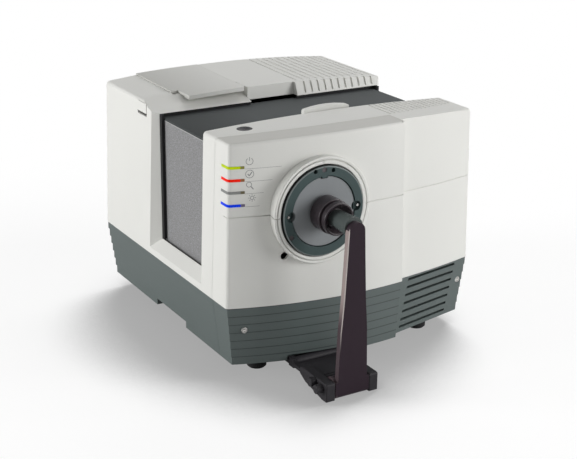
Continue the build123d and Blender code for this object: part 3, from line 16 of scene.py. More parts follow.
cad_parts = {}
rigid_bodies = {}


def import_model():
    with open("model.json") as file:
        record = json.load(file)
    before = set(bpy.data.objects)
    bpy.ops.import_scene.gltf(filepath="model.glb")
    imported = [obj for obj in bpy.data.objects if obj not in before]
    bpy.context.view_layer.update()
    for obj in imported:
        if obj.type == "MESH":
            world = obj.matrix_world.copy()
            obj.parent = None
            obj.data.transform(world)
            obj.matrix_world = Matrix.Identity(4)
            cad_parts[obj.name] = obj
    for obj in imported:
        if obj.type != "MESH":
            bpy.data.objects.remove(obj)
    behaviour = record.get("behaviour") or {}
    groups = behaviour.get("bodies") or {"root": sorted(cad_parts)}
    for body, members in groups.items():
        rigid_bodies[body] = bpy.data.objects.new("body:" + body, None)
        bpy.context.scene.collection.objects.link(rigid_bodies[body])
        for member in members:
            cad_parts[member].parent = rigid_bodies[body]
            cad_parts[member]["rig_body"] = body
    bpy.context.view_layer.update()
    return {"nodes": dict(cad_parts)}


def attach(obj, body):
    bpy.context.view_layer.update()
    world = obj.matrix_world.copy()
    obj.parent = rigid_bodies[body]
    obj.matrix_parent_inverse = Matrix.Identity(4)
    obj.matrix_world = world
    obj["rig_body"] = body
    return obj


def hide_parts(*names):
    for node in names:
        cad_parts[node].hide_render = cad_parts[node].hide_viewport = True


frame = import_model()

log = logging.getLogger("colorimeter")

Colour = tuple[float, float, float]
Point = tuple[float, float, float]
Pair = tuple[float, float]
Number = Union[int, float]

MM = 0.001
PORT_CENTRE: Point = (-70.5 * MM, 0.0, 224.5 * MM)
WHITE: Colour = (1.0, 1.0, 1.0)
CLOUD_SCALE = 9.0                   # patches of tone per metre of moulded plastic
ROUGHNESS_SWING = 0.06              # how much the roughness differs between them
WELD = 0.000002                     # vertices nearer than this become one
SLIVER = 0.000001                   # edges shorter than this are dissolved
CHART_ANGLE = math.radians(4.0)     # edges flatter than this join two faces in one chart
SMALL_CHART = 30                    # charts of no more faces than this keep their own normals
BLUR_STEPS = 4                      # rounds of averaging the normals in the other charts
FORWARD = -0.5                      # a face looks forward if its normal's Y is below this
UPWARD = 0.9                        # a face looks up if its normal's Z is above this


# ---- shader tools
class Signal:
    """A shader socket that takes part in arithmetic."""

    def __init__(self, nodes: "Nodes", socket: bpy.types.NodeSocket) -> None:
        """Wrap one output socket.

        Args:
            nodes: The node tree that the socket is in.
            socket: The output socket.
        """
        self.nodes = nodes
        self.socket = socket

    def _math(self, operation: str, first: "Operand", second: "Operand") -> "Signal":
        """Add one Math node.

        Args:
            operation: Name of the Math node's operation.
            first: Left operand.
            second: Right operand.

        Returns:
            The result.
        """
        return self.nodes.node("ShaderNodeMath", {"operation": operation}, {0: first, 1: second})

    def __add__(self, other: "Operand") -> "Signal":
        """Sum."""
        return self._math("ADD", self, other)

    def __radd__(self, other: "Operand") -> "Signal":
        """Sum, number first."""
        return self._math("ADD", other, self)

    def __sub__(self, other: "Operand") -> "Signal":
        """Difference."""
        return self._math("SUBTRACT", self, other)

    def __rsub__(self, other: "Operand") -> "Signal":
        """Difference, number first."""
        return self._math("SUBTRACT", other, self)

    def __mul__(self, other: "Operand") -> "Signal":
        """Product."""
        return self._math("MULTIPLY", self, other)

    def __rmul__(self, other: "Operand") -> "Signal":
        """Product, number first."""
        return self._math("MULTIPLY", other, self)

    def __mod__(self, other: "Operand") -> "Signal":
        """Remainder, never negative."""
        return self._math("FLOORED_MODULO", self, other)

    def __rmod__(self, other: "Operand") -> "Signal":
        """Remainder, number first."""
        return self._math("FLOORED_MODULO", other, self)

    def __gt__(self, other: "Operand") -> "Signal":
        """1 where the signal is greater, otherwise 0."""
        return self._math("GREATER_THAN", self, other)

    def __lt__(self, other: "Operand") -> "Signal":
        """1 where the signal is less, otherwise 0."""
        return self._math("LESS_THAN", self, other)


Operand = Union[Signal, Number]


class Nodes:
    """A node tree under construction."""

    def __init__(self, tree: bpy.types.NodeTree, output: str) -> None:
        """Empty a node tree and give it an output node.

        Args:
            tree: The node tree.
            output: Blender's type name of the output node.
        """
        self.tree = tree
        self.tree.nodes.clear()
        self.output = self.tree.nodes.new(output)

    def node(self, kind: str, settings: Optional[dict] = None, inputs: Optional[dict] = None,
             output: Union[int, str] = 0) -> Signal:
        """Add one node.

        Args:
            kind: Blender's type name of the node.
            settings: Properties of the node, set first.
            inputs: Values or signals of its input sockets, by name or place.
            output: The output socket to return.

        Returns:
            The chosen output.
        """
        made = self.tree.nodes.new(kind)
        for key, value in (settings or {}).items():
            setattr(made, key, value)
        for key, value in (inputs or {}).items():
            self.feed(made.inputs[key], value)
        return Signal(self, made.outputs[output])

    def feed(self, socket: bpy.types.NodeSocket, value: Union[Operand, Sequence[float]]) -> None:
        """Link a signal to a socket, or set its value.

        Args:
            socket: The input socket.
            value: A signal, a number, a colour or a vector.
        """
        if isinstance(value, Signal):
            self.tree.links.new(value.socket, socket)
        elif socket.type == "RGBA":
            socket.default_value = (*value, 1.0)
        else:
            socket.default_value = value

    def show(self, surface: Signal) -> None:
        """Link a shader to the output node."""
        self.feed(self.output.inputs["Surface"], surface)


class Shader(Nodes):
    """A material under construction, with a Principled BSDF at its end."""

    def __init__(self, name: str) -> None:
        """Start an empty material.

        Args:
            name: The material's name.
        """
        self.material = bpy.data.materials.new(name)
        self.material.use_nodes = True
        super().__init__(self.material.node_tree, "ShaderNodeOutputMaterial")
        self.surface = self.tree.nodes.new("ShaderNodeBsdfPrincipled")
        self.show(Signal(self, self.surface.outputs["BSDF"]))
        self.place = self.node("ShaderNodeTexCoord", output="Object")

    def axis(self, name: str) -> Signal:
        """One object coordinate, in metres: X, Y or Z."""
        return self.node("ShaderNodeSeparateXYZ", None, {"Vector": self.place}, name)

    def radius(self, centre: Point) -> Signal:
        """Distance from an axis along Y.

        Args:
            centre: A point on the axis.

        Returns:
            The distance, in metres.
        """
        offset = self.node("ShaderNodeVectorMath", {"operation": "SUBTRACT"}, {0: self.place, 1: centre})
        flat = self.node("ShaderNodeVectorMath", {"operation": "MULTIPLY"}, {0: offset, 1: (1.0, 0.0, 1.0)})
        return self.node("ShaderNodeVectorMath", {"operation": "LENGTH"}, {0: flat}, "Value")

    def noise(self, scale: float, detail: float = 2.0) -> Signal:
        """Noise on object coordinates.

        Args:
            scale: Cells per metre.
            detail: Octaves.

        Returns:
            The noise value.
        """
        return self.node("ShaderNodeTexNoise", None,
                         {"Vector": self.place, "Scale": scale, "Detail": detail})

    def ramp(self, value: Signal, limits: Pair, ends: Pair = (0.0, 1.0), ease: bool = True) -> Signal:
        """Run between two ends while a value runs between two limits.

        Args:
            value: The value.
            limits: Where the run starts and stops.
            ends: The result at those limits and beyond.
            ease: Whether it starts and stops softly.

        Returns:
            The result.
        """
        return self.node("ShaderNodeMapRange", {"interpolation_type": "SMOOTHSTEP" if ease else "LINEAR"},
                         {"Value": value, "From Min": limits[0], "From Max": limits[1],
                          "To Min": ends[0], "To Max": ends[1]})

    def mix(self, factor: Operand, first: Union[Signal, Colour], second: Union[Signal, Colour]) -> Signal:
        """Mix two colours.

        Args:
            factor: 0 gives the first, 1 the second.
            first: A colour or signal.
            second: A colour or signal.

        Returns:
            The mixed colour.
        """
        factor_socket, first_socket, second_socket, result_socket = 0, 6, 7, 2
        return self.node("ShaderNodeMix", {"data_type": "RGBA"},
                         {factor_socket: factor, first_socket: first, second_socket: second}, result_socket)

    def rounded(self, radius: Operand) -> Signal:
        """A normal that rounds off sharp edges to a radius, in metres."""
        return self.node("ShaderNodeBevel", {"samples": 4}, {"Radius": radius})

    def bump(self, height: Signal, depth: float, normal: Signal) -> Signal:
        """A bumped normal.

        Args:
            height: Height signal, 0 to 1.
            depth: Height of 1, in metres.
            normal: Normal to start from.

        Returns:
            The normal.
        """
        return self.node("ShaderNodeBump", None,
                         {"Height": height, "Distance": depth, "Strength": 1.0, "Normal": normal})

    def set(self, **values: Union[Operand, Sequence[float]]) -> None:
        """Set or link sockets of the Principled BSDF.

        Args:
            **values: Socket names with underscores for spaces.
        """
        for key, value in values.items():
            self.feed(self.surface.inputs[key.replace("_", " ")], value)


# ---- finishes
@dataclass(frozen=True)
class Look:
    """A finish; each kind sets its material's sockets in its own way."""

    name: str

    def paint(self, shader: Shader) -> None:
        """Set the material's sockets."""
        raise NotImplementedError

    def build(self) -> bpy.types.Material:
        """Make the material.

        Returns:
            The material.
        """
        shader = Shader(self.name)
        self.paint(shader)
        return shader.material


@dataclass(frozen=True)
class Moulding(Look):
    """Plain moulded plastic with a fine grain."""

    colour: Colour
    roughness: float = 0.42
    grain: float = 0.00001          # depth, in metres
    grain_scale: float = 1400.0     # grains per metre
    edge: float = 0.0006            # radius of its edges, in metres
    shift: float = 0.04             # how much darker its dark patches are
    specular: float = 0.25

    def paint(self, shader: Shader) -> None:
        """Set the material's sockets."""
        cloud = shader.noise(CLOUD_SCALE)
        colour = shader.mix(cloud, self.darker(1.0 - self.shift), self.colour)
        grain = shader.noise(self.grain_scale)
        shader.set(Base_Color=self.with_painted_light(shader, colour), Specular_IOR_Level=self.specular,
                   Roughness=self.roughness - ROUGHNESS_SWING / 2 + cloud * ROUGHNESS_SWING,
                   Normal=shader.bump(grain, self.grain, shader.rounded(self.rounding(shader))))

    def darker(self, tone: float) -> Colour:
        """The colour with this share of its light."""
        return tuple(channel * tone for channel in self.colour)

    def with_painted_light(self, shader: Shader, colour: Signal) -> Signal:
        """The colour with its painted light and shade, which a plain moulding lacks."""
        return colour

    def rounding(self, shader: Shader) -> Operand:
        """Radius of the edges, in metres."""
        return self.edge


@dataclass(frozen=True)
class Beaded(Moulding):
    """Moulded plastic with rounded rings round an axis along Y and painted shade on its crowned top."""

    centre: Point = PORT_CENTRE
    reach: float = 71.5 * MM                    # radius round the axis inside which the rings lie
    bead: float = 2.0 * MM                      # radius of the rings' edges
    crown: float = 321.5 * MM                   # height of the top at the middle
    fall: float = 0.145                         # how fast the top falls sideways, per metre squared
    skin_depth: Pair = (0.3 * MM, 1.3 * MM)     # the painted shade fades in between these depths under the top
    # painted shade on the top, darker than the plastic
    top_shade: Colour = (0.60, 0.595, 0.56)

    def rounding(self, shader: Shader) -> Operand:
        """Radius of the edges, larger on the rings."""
        return self.edge + (shader.radius(self.centre) < self.reach) * (self.bead - self.edge)

    def with_painted_light(self, shader: Shader, colour: Signal) -> Signal:
        """Paint shade on the top.

        Args:
            shader: The shader.
            colour: The plain colour.

        Returns:
            The colour with its painted shade.
        """
        across = shader.axis("X")
        below = self.crown - self.fall * across * across - shader.axis("Z")
        return shader.mix(shader.ramp(below, self.skin_depth), self.top_shade, colour)


@dataclass(frozen=True)
class ShadedAcross(Moulding):
    """Moulded plastic with painted shade that lightens from its left end to its right end."""

    # tone at the right end, where the painted shade has lightened
    end: Colour = (0.5, 0.5, 0.5)
    ends: Pair = (-150.0 * MM, 150.0 * MM)      # X of its left and right ends

    def with_painted_light(self, shader: Shader, colour: Signal) -> Signal:
        """The colour, its painted shade lightening towards the right."""
        drift = shader.ramp(shader.axis("X"), self.ends, ease=False)
        return shader.mix(drift, colour, self.end)


@dataclass(frozen=True)
class Banded(Moulding):
    """Moulded plastic in stepped bands, with painted shadow under each step but none on the vents."""

    top: float = 103.85 * MM            # height where the first painted shadow line starts
    pitch: float = 11.55 * MM
    shadow_line: float = 1.3 * MM              # height of a painted shadow line
    shade: float = 0.45                 # tone of the painted shadow, as a share of the plastic's
    vents_right_of: float = 58.0 * MM
    vents_front_of: float = -120.0 * MM

    def with_painted_light(self, shader: Shader, colour: Signal) -> Signal:
        """Paint the shadow lines.

        Args:
            shader: The shader.
            colour: The plain colour.

        Returns:
            The colour with its markings.
        """
        # painted shadow: a dark line just below each step, where the band above overhangs
        below = (self.top - shader.axis("Z")) % self.pitch
        vents = (shader.axis("X") > self.vents_right_of) * (shader.axis("Y") < self.vents_front_of)
        lines = (below < self.shadow_line) * (1.0 - vents)
        return shader.mix(lines, colour, self.darker(self.shade))


@dataclass(frozen=True)
class Rimmed(Moulding):
    """A moulded ring with painted shade on its side and a painted highlight on its front edge."""

    centre: Point = PORT_CENTRE
    edge_radius: float = 57.2 * MM
    side_start: float = -170.7 * MM     # the side lies behind this Y
    # painted highlight on the front edge
    pale: Colour = (0.22, 0.25, 0.25)
    # painted shade on the side
    black: Colour = (0.012, 0.014, 0.015)

    def with_painted_light(self, shader: Shader, colour: Signal) -> Signal:
        """Paint shade on the side and a highlight on the front edge.

        Args:
            shader: The shader.
            colour: The plain colour.

        Returns:
            The colour with its painted shade and highlight.
        """
        outside = shader.radius(self.centre) > self.edge_radius
        rim_highlight = shader.mix(outside, colour, self.pale)
        side = outside * (shader.axis("Y") > self.side_start)
        return shader.mix(side, rim_highlight, self.black)


@dataclass(frozen=True)
class Edged(Moulding):
    """Painted bar with painted light on its left side and a painted highlight on its long left edge."""

    outline: tuple[Pair, ...] = (               # heights and full widths, in mm
        (20.0, 43.0), (91.0, 38.5), (134.0, 31.5), (184.0, 26.5), (221.5, 23.0))
    middle: float = PORT_CENTRE[0]
    face: float = -246.0 * MM                   # Y of its front
    corner: float = 0.9 * MM                    # width of the painted highlight on the edge, on the front and the side
    side_from: Pair = (0.2 * MM, 0.1 * MM)      # the side is this near the outline, this far from the front
    # the side's painted light on its lower part, lighter than the front
    side: Colour = (0.075, 0.055, 0.062)
    lit_side: Colour = (0.33, 0.27, 0.26)
    side_light_heights: Pair = (95 * MM, 140 * MM)       # heights between which the side's painted light turns brighter
    bright: Colour = (0.55, 0.50, 0.48)
    edge_glint_heights: Pair = (60 * MM, 110 * MM)       # heights between which the edge's painted highlight comes in

    def with_painted_light(self, shader: Shader, colour: Signal) -> Signal:
        """Paint light on the side and a highlight on the edge.

        Args:
            shader: The shader.
            colour: The plain colour.

        Returns:
            The colour with its painted light and highlight.
        """
        height = shader.axis("Z")
        inwards = self.half_width(shader, height) + (shader.axis("X") - self.middle)
        depth = shader.axis("Y") - self.face
        near, behind = self.side_from
        side_light = shader.mix(shader.ramp(height, self.side_light_heights), self.side, self.lit_side)
        side = shader.mix((inwards < near) * (depth > behind), colour, side_light)
        corner = (inwards < self.corner) * (depth < self.corner)
        return shader.mix(corner * shader.ramp(height, self.edge_glint_heights), side, self.bright)

    def half_width(self, shader: Shader, height: Signal) -> Operand:
        """Half the bar's width.

        Args:
            shader: The shader.
            height: The height, in metres.

        Returns:
            Half the width there, in metres.
        """
        half: Operand = self.outline[0][1] / 2 * MM
        for (low, wide), (high, narrow) in zip(self.outline, self.outline[1:]):
            half = half - shader.ramp(height, (low * MM, high * MM), (0.0, (wide - narrow) / 2 * MM), False)
        return half


@dataclass(frozen=True)
class Speckle(Look):
    """Textured paint with light and dark specks and a painted highlight along its upper edge."""

    colour: Colour
    light: Colour
    dark: Colour
    scale: float                        # cells of the light specks' noise per metre
    dark_scale: float = 0.8             # the dark specks' cells, as a share of that
    detail: float = 3.0
    light_above: float = 0.56           # noise above this gives a light speck
    dark_above: float = 0.58            # and above this a dark one
    depth: float = 0.00003
    edge: float = 0.0006
    highlight_from: float = 295.6 * MM        # a painted highlight lies above this height
    rim_highlight: Colour = (0.45, 0.45, 0.44)

    def paint(self, shader: Shader) -> None:
        """Set the material's sockets."""
        specks = shader.noise(self.scale, self.detail)
        pits = shader.noise(self.scale * self.dark_scale, self.detail)
        pale = shader.mix(specks > self.light_above, self.colour, self.light)
        paint = shader.mix(pits > self.dark_above, pale, self.dark)
        # painted highlight along the upper edge
        shader.set(Base_Color=shader.mix(shader.axis("Z") > self.highlight_from, paint, self.rim_highlight), Roughness=0.6,
                   Specular_IOR_Level=0.2, Normal=shader.bump(specks, self.depth, shader.rounded(self.edge)))


@dataclass(frozen=True)
class Metal(Look):
    """Bare or coated metal."""

    colour: Colour
    roughness: float
    metallic: float = 1.0
    streak: float = 0.08                # how much the roughness differs between streaks
    streak_scale: float = 500.0
    edge: float = 0.0005

    def paint(self, shader: Shader) -> None:
        """Set the material's sockets."""
        streaks = shader.noise(self.streak_scale, 4.0)
        shader.set(Base_Color=self.colour, Metallic=self.metallic,
                   Roughness=self.roughness - self.streak / 2 + streaks * self.streak,
                   Normal=shader.rounded(self.edge))


@dataclass(frozen=True)
class Glow(Look):
    """A light pipe, lit or dark, that dims towards its inner end."""

    colour: Colour
    strength: float
    end: Colour = (0.16, 0.13, 0.06)
    dims: Pair = (-172.0 * MM, -170.0 * MM)     # X where the dim end starts and is full
    dimming: float = 0.85

    def paint(self, shader: Shader) -> None:
        """Set the material's sockets."""
        dim = shader.ramp(shader.axis("X"), self.dims)
        colour = shader.mix(dim * self.dimming, self.colour, self.end)
        shader.set(Base_Color=colour, Roughness=0.35, Specular_IOR_Level=0.1, Emission_Color=colour,
                   Emission_Strength=self.strength)


@dataclass(frozen=True)
class Clear(Look):
    """Clear optical glass."""

    colour: Colour = (0.9, 0.95, 0.96)

    def paint(self, shader: Shader) -> None:
        """Set the material's sockets."""
        shader.set(Base_Color=self.colour, Roughness=0.02, Transmission_Weight=1.0, IOR=1.5)


@dataclass(frozen=True)
class Board(Look):
    """Lacquered circuit board with a net of paler tracks."""

    colour: Colour = (0.02, 0.16, 0.06)
    track: Colour = (0.05, 0.27, 0.10)
    scale: float = 120.0

    def paint(self, shader: Shader) -> None:
        """Set the material's sockets."""
        tracks = shader.node("ShaderNodeTexBrick", {"offset": 0.5},
                             {"Vector": shader.place, "Scale": self.scale, "Mortar Size": 0.02}, "Fac")
        shader.set(Base_Color=shader.mix(tracks, self.colour, self.track), Roughness=0.3)


class Finish(Enum):
    """Every finish on the instrument."""

    WHITE = Moulding("white_plastic", (0.80, 0.80, 0.765))
    BEZEL = Beaded("bezel_plastic", (0.80, 0.80, 0.765))
    # painted shade, darker towards the lid's left end
    LID = ShadedAcross("lid_plastic", (0.57, 0.57, 0.54), roughness=0.5, end=(0.76, 0.76, 0.73),
                ends=(-137 * MM, -38 * MM))
    BASE = Banded("base_plastic", (0.102, 0.127, 0.123), roughness=0.5, grain=0.00003, grain_scale=900.0,
                  edge=0.0004, shift=0.10, specular=0.5)
    # painted shade: one dark line along the latch's lower edge, where its slot lies in shade
    LATCH = Banded("latch_plastic", (0.80, 0.80, 0.765), top=300.4 * MM, pitch=100 * MM, shadow_line=1.6 * MM,
                   shade=0.04)
    REAR_PANEL = Moulding("rear_panel_plastic", (0.088, 0.118, 0.116), roughness=0.5, grain=0.00004,
                          grain_scale=900.0)
    # painted shade at the cover top's left end, where the rear housing shades it, and painted sheen towards
    # its right
    DARK_COVER = ShadedAcross("cover_plastic", (0.080, 0.086, 0.087), roughness=0.6, grain=0.00003,
                       grain_scale=1100.0, specular=0.02, end=(0.132, 0.142, 0.144),
                       ends=(-170 * MM, -60 * MM))
    COVER_SIDE = Speckle("cover_side_paint", (0.25, 0.25, 0.25), light=(0.32, 0.32, 0.335),
                         dark=(0.185, 0.185, 0.19), scale=750.0)
    BLACK = Moulding("black_plastic", (0.018, 0.018, 0.02), roughness=0.5)
    RUBBER = Moulding("black_rubber", (0.014, 0.014, 0.015), roughness=0.75, grain=0.00003, grain_scale=700.0)
    GREEN_RING = Rimmed("ring_plastic", (0.052, 0.080, 0.080), roughness=0.38)
    PLATE = Moulding("plate_plastic", (0.26, 0.275, 0.285), roughness=0.35)
    PAD = Moulding("pad_rubber", (0.036, 0.027, 0.032), roughness=0.28, grain=0.0, edge=0.0010, specular=0.5)
    ARM = Edged("arm_paint", (0.032, 0.021, 0.029), roughness=0.32, grain_scale=1500.0, edge=0.0009,
                specular=0.12)
    SHAFT = Moulding("shaft_paint", (0.075, 0.090, 0.087), roughness=0.25, grain=0.0, specular=0.5)
    BRACKET = Moulding("bracket_paint", (0.036, 0.034, 0.038), edge=0.0012, specular=0.12)
    STEEL = Metal("screw_steel", (0.66, 0.65, 0.63), roughness=0.28)
    DARK_STEEL = Metal("pin_steel", (0.10, 0.09, 0.095), roughness=0.32, metallic=0.7)
    SHEET = Metal("sheet_metal", (0.48, 0.49, 0.50), roughness=0.45)
    SPHERE = Moulding("sphere_coating", (0.88, 0.88, 0.86), roughness=0.8)
    BOARD = Board("board_lacquer")
    GLASS = Clear("lens_glass")
    PRINT = Moulding("grey_print", (0.29, 0.29, 0.29), roughness=0.5, grain=0.0)
    BAR_GREEN = Glow("bar_green", (0.46, 0.60, 0.002), strength=0.20)
    BAR_RED = Glow("bar_red", (0.80, 0.012, 0.002), strength=0.25)
    BAR_GREY = Glow("bar_grey", (0.28, 0.29, 0.28), strength=0.0)
    BAR_BLUE = Glow("bar_blue", (0.002, 0.045, 0.80), strength=0.20)


@cache
def material(finish: Finish) -> bpy.types.Material:
    """The material of a finish, made once."""
    return finish.value.build()


# ---- mesh tools
def mount(data: bpy.types.Mesh, body: str, finish: Finish) -> bpy.types.Object:
    """Make a finished piece that rides on a body.

    Args:
        data: The mesh, in metres and in place, under the piece's name.
        body: The body it moves with.
        finish: Its finish.

    Returns:
        The new piece.
    """
    piece = bpy.data.objects.new(data.name, data)
    bpy.context.scene.collection.objects.link(piece)
    data.materials.append(material(finish))
    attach(piece, body)
    log.info("piece %s: %d faces, on %s", piece.name, len(data.polygons), body)
    return piece


def share(value: float, start: float, end: float) -> float:
    """How far a value has come from start to end, 0 to 1."""
    return min(1.0, max(0.0, (value - start) / (end - start)))


class Shading:
    """Corner normals that keep broad faces even and let only the narrow faces beside them turn."""

    def __init__(self, mesh: BMesh, sharp: float) -> None:
        """Sort the faces into charts, which are nearly flat or gently curved regions.

        Args:
            mesh: The welded mesh.
            sharp: Edges sharper than this stay sharp, in radians.
        """
        self.mesh = mesh
        self.sharp = sharp
        self.chart: list[int] = [-1] * len(mesh.faces)
        self.area: list[float] = []
        self.count: list[int] = []
        mesh.faces.index_update()
        mesh.verts.index_update()
        for face in mesh.faces:
            if self.chart[face.index] < 0:
                self._flood(face)
        self.normal: dict[tuple[int, int], Vector] = {}
        for face in mesh.faces:
            push = face.normal * face.calc_area()
            for vert in face.verts:
                key = (self.chart[face.index], vert.index)
                self.normal[key] = self.normal.get(key, Vector()) + push
        for value in self.normal.values():
            value.normalize()
        for _ in range(BLUR_STEPS):
            self._blur()

    def _flood(self, start: BMFace) -> None:
        """Gather one chart.

        Args:
            start: Its first face.
        """
        number = len(self.area)
        total, count, waiting = 0.0, 0, [start]
        self.chart[start.index] = number
        while waiting:
            face = waiting.pop()
            total += face.calc_area()
            count += 1
            for edge in face.edges:
                if edge.calc_face_angle(math.pi) < CHART_ANGLE:
                    for other in edge.link_faces:
                        if self.chart[other.index] < 0:
                            self.chart[other.index] = number
                            waiting.append(other)
        self.area.append(total)
        self.count.append(count)

    def _blur(self) -> None:
        """Average the normals of neighbouring vertices inside each large chart."""
        total = {key: value.copy() for key, value in self.normal.items()}
        for edge in self.mesh.edges:
            for number in {self.chart[face.index] for face in edge.link_faces}:
                if self.count[number] > SMALL_CHART:
                    first, second = ((number, vert.index) for vert in edge.verts)
                    total[first] += self.normal[second]
                    total[second] += self.normal[first]
        for key, value in total.items():
            self.normal[key] = value.normalized()

    def corners(self) -> list[Vector]:
        """Work out one normal for each face corner.

        Returns:
            The normals, in the mesh's order.
        """
        found: dict[tuple[int, int], Vector] = {}
        for vert in self.mesh.verts:
            waiting = set(vert.link_faces)
            while waiting:
                group = self._group(vert, waiting.pop())
                waiting -= group
                charts = {self.chart[face.index] for face in group}
                pushes = (self.normal[number, vert.index] * self.area[number] for number in charts)
                total = sum(pushes, Vector())
                for face in group:
                    found[face.index, vert.index] = total.normalized()
        return [found[face.index, vert.index] for face in self.mesh.faces for vert in face.verts]

    def _group(self, vert: BMVert, start: BMFace) -> set[BMFace]:
        """The faces round a vertex that no sharp edge parts from the first.

        Args:
            vert: The vertex.
            start: The first face.

        Returns:
            The faces.
        """
        group, waiting = {start}, [start]
        while waiting:
            face = waiting.pop()
            for edge in face.edges:
                if vert in edge.verts and edge.calc_face_angle(math.pi) < self.sharp:
                    fresh = set(edge.link_faces) - group
                    group |= fresh
                    waiting.extend(fresh)
        return group


def skin(node: str, finish: Finish, angle: float = 32.0,
         shape: Optional[Callable[[BMesh], None]] = None) -> bpy.types.Object:
    """A welded, smooth-shaded copy that stands for a CAD node.

    Args:
        node: The CAD node.
        finish: Its finish.
        angle: Edges sharper than this stay sharp, in degrees.
        shape: Refines the welded copy's shape.

    Returns:
        The copy.
    """
    source = frame["nodes"][node]
    mesh = bmesh.new()
    mesh.from_mesh(source.data)
    bmesh.ops.remove_doubles(mesh, verts=mesh.verts, dist=WELD)
    bmesh.ops.dissolve_degenerate(mesh, edges=mesh.edges, dist=SLIVER)
    if shape is not None:
        shape(mesh)
        mesh.normal_update()
    data = bpy.data.meshes.new(node + "_skin")
    mesh.to_mesh(data)
    data.polygons.foreach_set("use_smooth", [True] * len(data.polygons))
    data.set_sharp_from_angle(angle=math.radians(angle))
    data.normals_split_custom_set(Shading(mesh, math.radians(angle)).corners())
    mesh.free()
    copy = mount(data, source["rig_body"], finish)
    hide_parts(node)
    return copy


def rays(count: int, inner: float, outer: float) -> tuple[tuple[Pair, Pair], ...]:
    """Strokes that point outwards all round, from the inner radius to the outer."""
    turns = (index * 2 * math.pi / count for index in range(count))
    return tuple(tuple((r * math.cos(turn), r * math.sin(turn)) for r in (inner, outer)) for turn in turns)


@dataclass(frozen=True)
class Symbol:
    """A printed ring or arc with strokes, in mm from the symbol's middle."""

    radius: float
    strokes: tuple[tuple[Pair, Pair], ...]
    width: float                    # of the strokes
    centre: Pair = (0.0, 0.0)       # of the ring
    arc: Pair = (0.0, 360.0)        # its start and its length, in degrees


POWER = Symbol(4.2, (((0.0, 0.8), (0.0, 5.4)),), 0.7, arc=(-60.0, 300.0))
TICK = Symbol(4.9, (((-2.4, 0.2), (-0.6, -2.2)), ((-0.6, -2.2), (2.8, 2.4))), 1.2)
MAGNIFIER = Symbol(3.1, (((1.3, -1.2), (4.2, -5.0)),), 1.2, centre=(-1.0, 1.2))
SUN = Symbol(2.1, rays(8, 3.2, 4.8), 0.7)


@dataclass
class Print:
    """Flat strokes, drawn on a sheet in front of the instrument and then laid onto it."""

    mesh: BMesh = field(default_factory=bmesh.new)
    sheet: float = -196.0 * MM      # Y of the sheet
    ring_width: float = 0.7 * MM
    arc_steps: int = 28
    lift: float = 0.06 * MM         # how far the strokes stay in front of the surface
    run_up: float = 0.2             # how far before the sheet the search for the surface starts

    def stroke(self, start: Sequence[float], end: Sequence[float], width: float, pieces: int = 2) -> None:
        """A straight stroke.

        Args:
            start: X and Z of its first end.
            end: X and Z of its second end.
            width: Its width.
            pieces: Lengths that it is cut in, so that it follows a bow.
        """
        span = Vector((end[0] - start[0], 0.0, end[1] - start[1]))
        middle = ((start[0] + end[0]) / 2, self.sheet, (start[1] + end[1]) / 2)
        turn = Matrix.Rotation(-math.atan2(span.z, span.x), 4, "Y")
        size = Matrix.Diagonal((span.length / 2, 1.0, width / 2, 1.0))
        upright = Matrix.Rotation(math.pi / 2, 4, "X")
        bmesh.ops.create_grid(self.mesh, x_segments=pieces, y_segments=1, size=1.0,
                              matrix=Matrix.Translation(middle) @ turn @ size @ upright)

    def ring(self, middle: Sequence[float], radius: float, start: float, turn: float) -> None:
        """A ring or arc.

        Args:
            middle: X and Z of its centre.
            radius: Mean radius.
            start: Angle of its start, in degrees.
            turn: Its length, in degrees.
        """
        centre = Vector((middle[0], self.sheet, middle[1]))
        arm = Matrix.Rotation(math.radians(start), 3, "Y") @ Vector((1, 0, 0))
        inner = self.mesh.verts.new(centre + arm * (radius - self.ring_width / 2))
        outer = self.mesh.verts.new(centre + arm * (radius + self.ring_width / 2))
        edge = self.mesh.edges.new((inner, outer))
        bmesh.ops.spin(self.mesh, geom=[inner, outer, edge], cent=centre, axis=Vector((0, 1, 0)),
                       angle=math.radians(turn), steps=self.arc_steps, use_merge=turn == 360.0)

    def symbol(self, symbol: Symbol, x: float, z: float) -> None:
        """Draw a symbol.

        Args:
            symbol: The symbol.
            x: Its middle, in mm.
            z: Its middle, in mm.
        """
        middle = Vector((x, z))
        self.ring((middle + Vector(symbol.centre)) * MM, symbol.radius * MM, *symbol.arc)
        for start, end in symbol.strokes:
            self.stroke((middle + Vector(start)) * MM, (middle + Vector(end)) * MM, symbol.width * MM)

    def lay(self, node: str) -> None:
        """Lay the drawing onto a CAD node's front.

        Args:
            node: The CAD node.
        """
        data = frame["nodes"][node].data
        surface = BVHTree.FromPolygons([v.co.copy() for v in data.vertices],
                                       [tuple(p.vertices) for p in data.polygons])
        ahead = Vector((0, 1, 0))
        for vert in self.mesh.verts:
            hit = surface.ray_cast(vert.co - ahead * self.run_up, ahead)[0]
            if hit is not None:
                vert.co = hit - ahead * self.lift

    def finish(self, name: str, body: str, finish: Finish, slot: str) -> bpy.types.Object:
        """Turn the drawing into a piece.

        Args:
            name: The piece's name.
            body: The body it moves with.
            finish: Its finish.
            slot: Not used.

        Returns:
            The piece.
        """
        bmesh.ops.recalc_face_normals(self.mesh, faces=self.mesh.faces)
        data = bpy.data.meshes.new(name)
        self.mesh.to_mesh(data)
        self.mesh.free()
        return mount(data, body, finish)


# ---- sub-assemblies
Dressing = tuple[tuple[str, Finish], ...]   # nodes and their finishes


@dataclass
class Assembly:
    """A sub-assembly whose nodes each take one finish."""

    finishes: Dressing = ()

    def build(self) -> None:
        """Dress every node."""
        for node, finish in self.finishes:
            skin(node, finish)


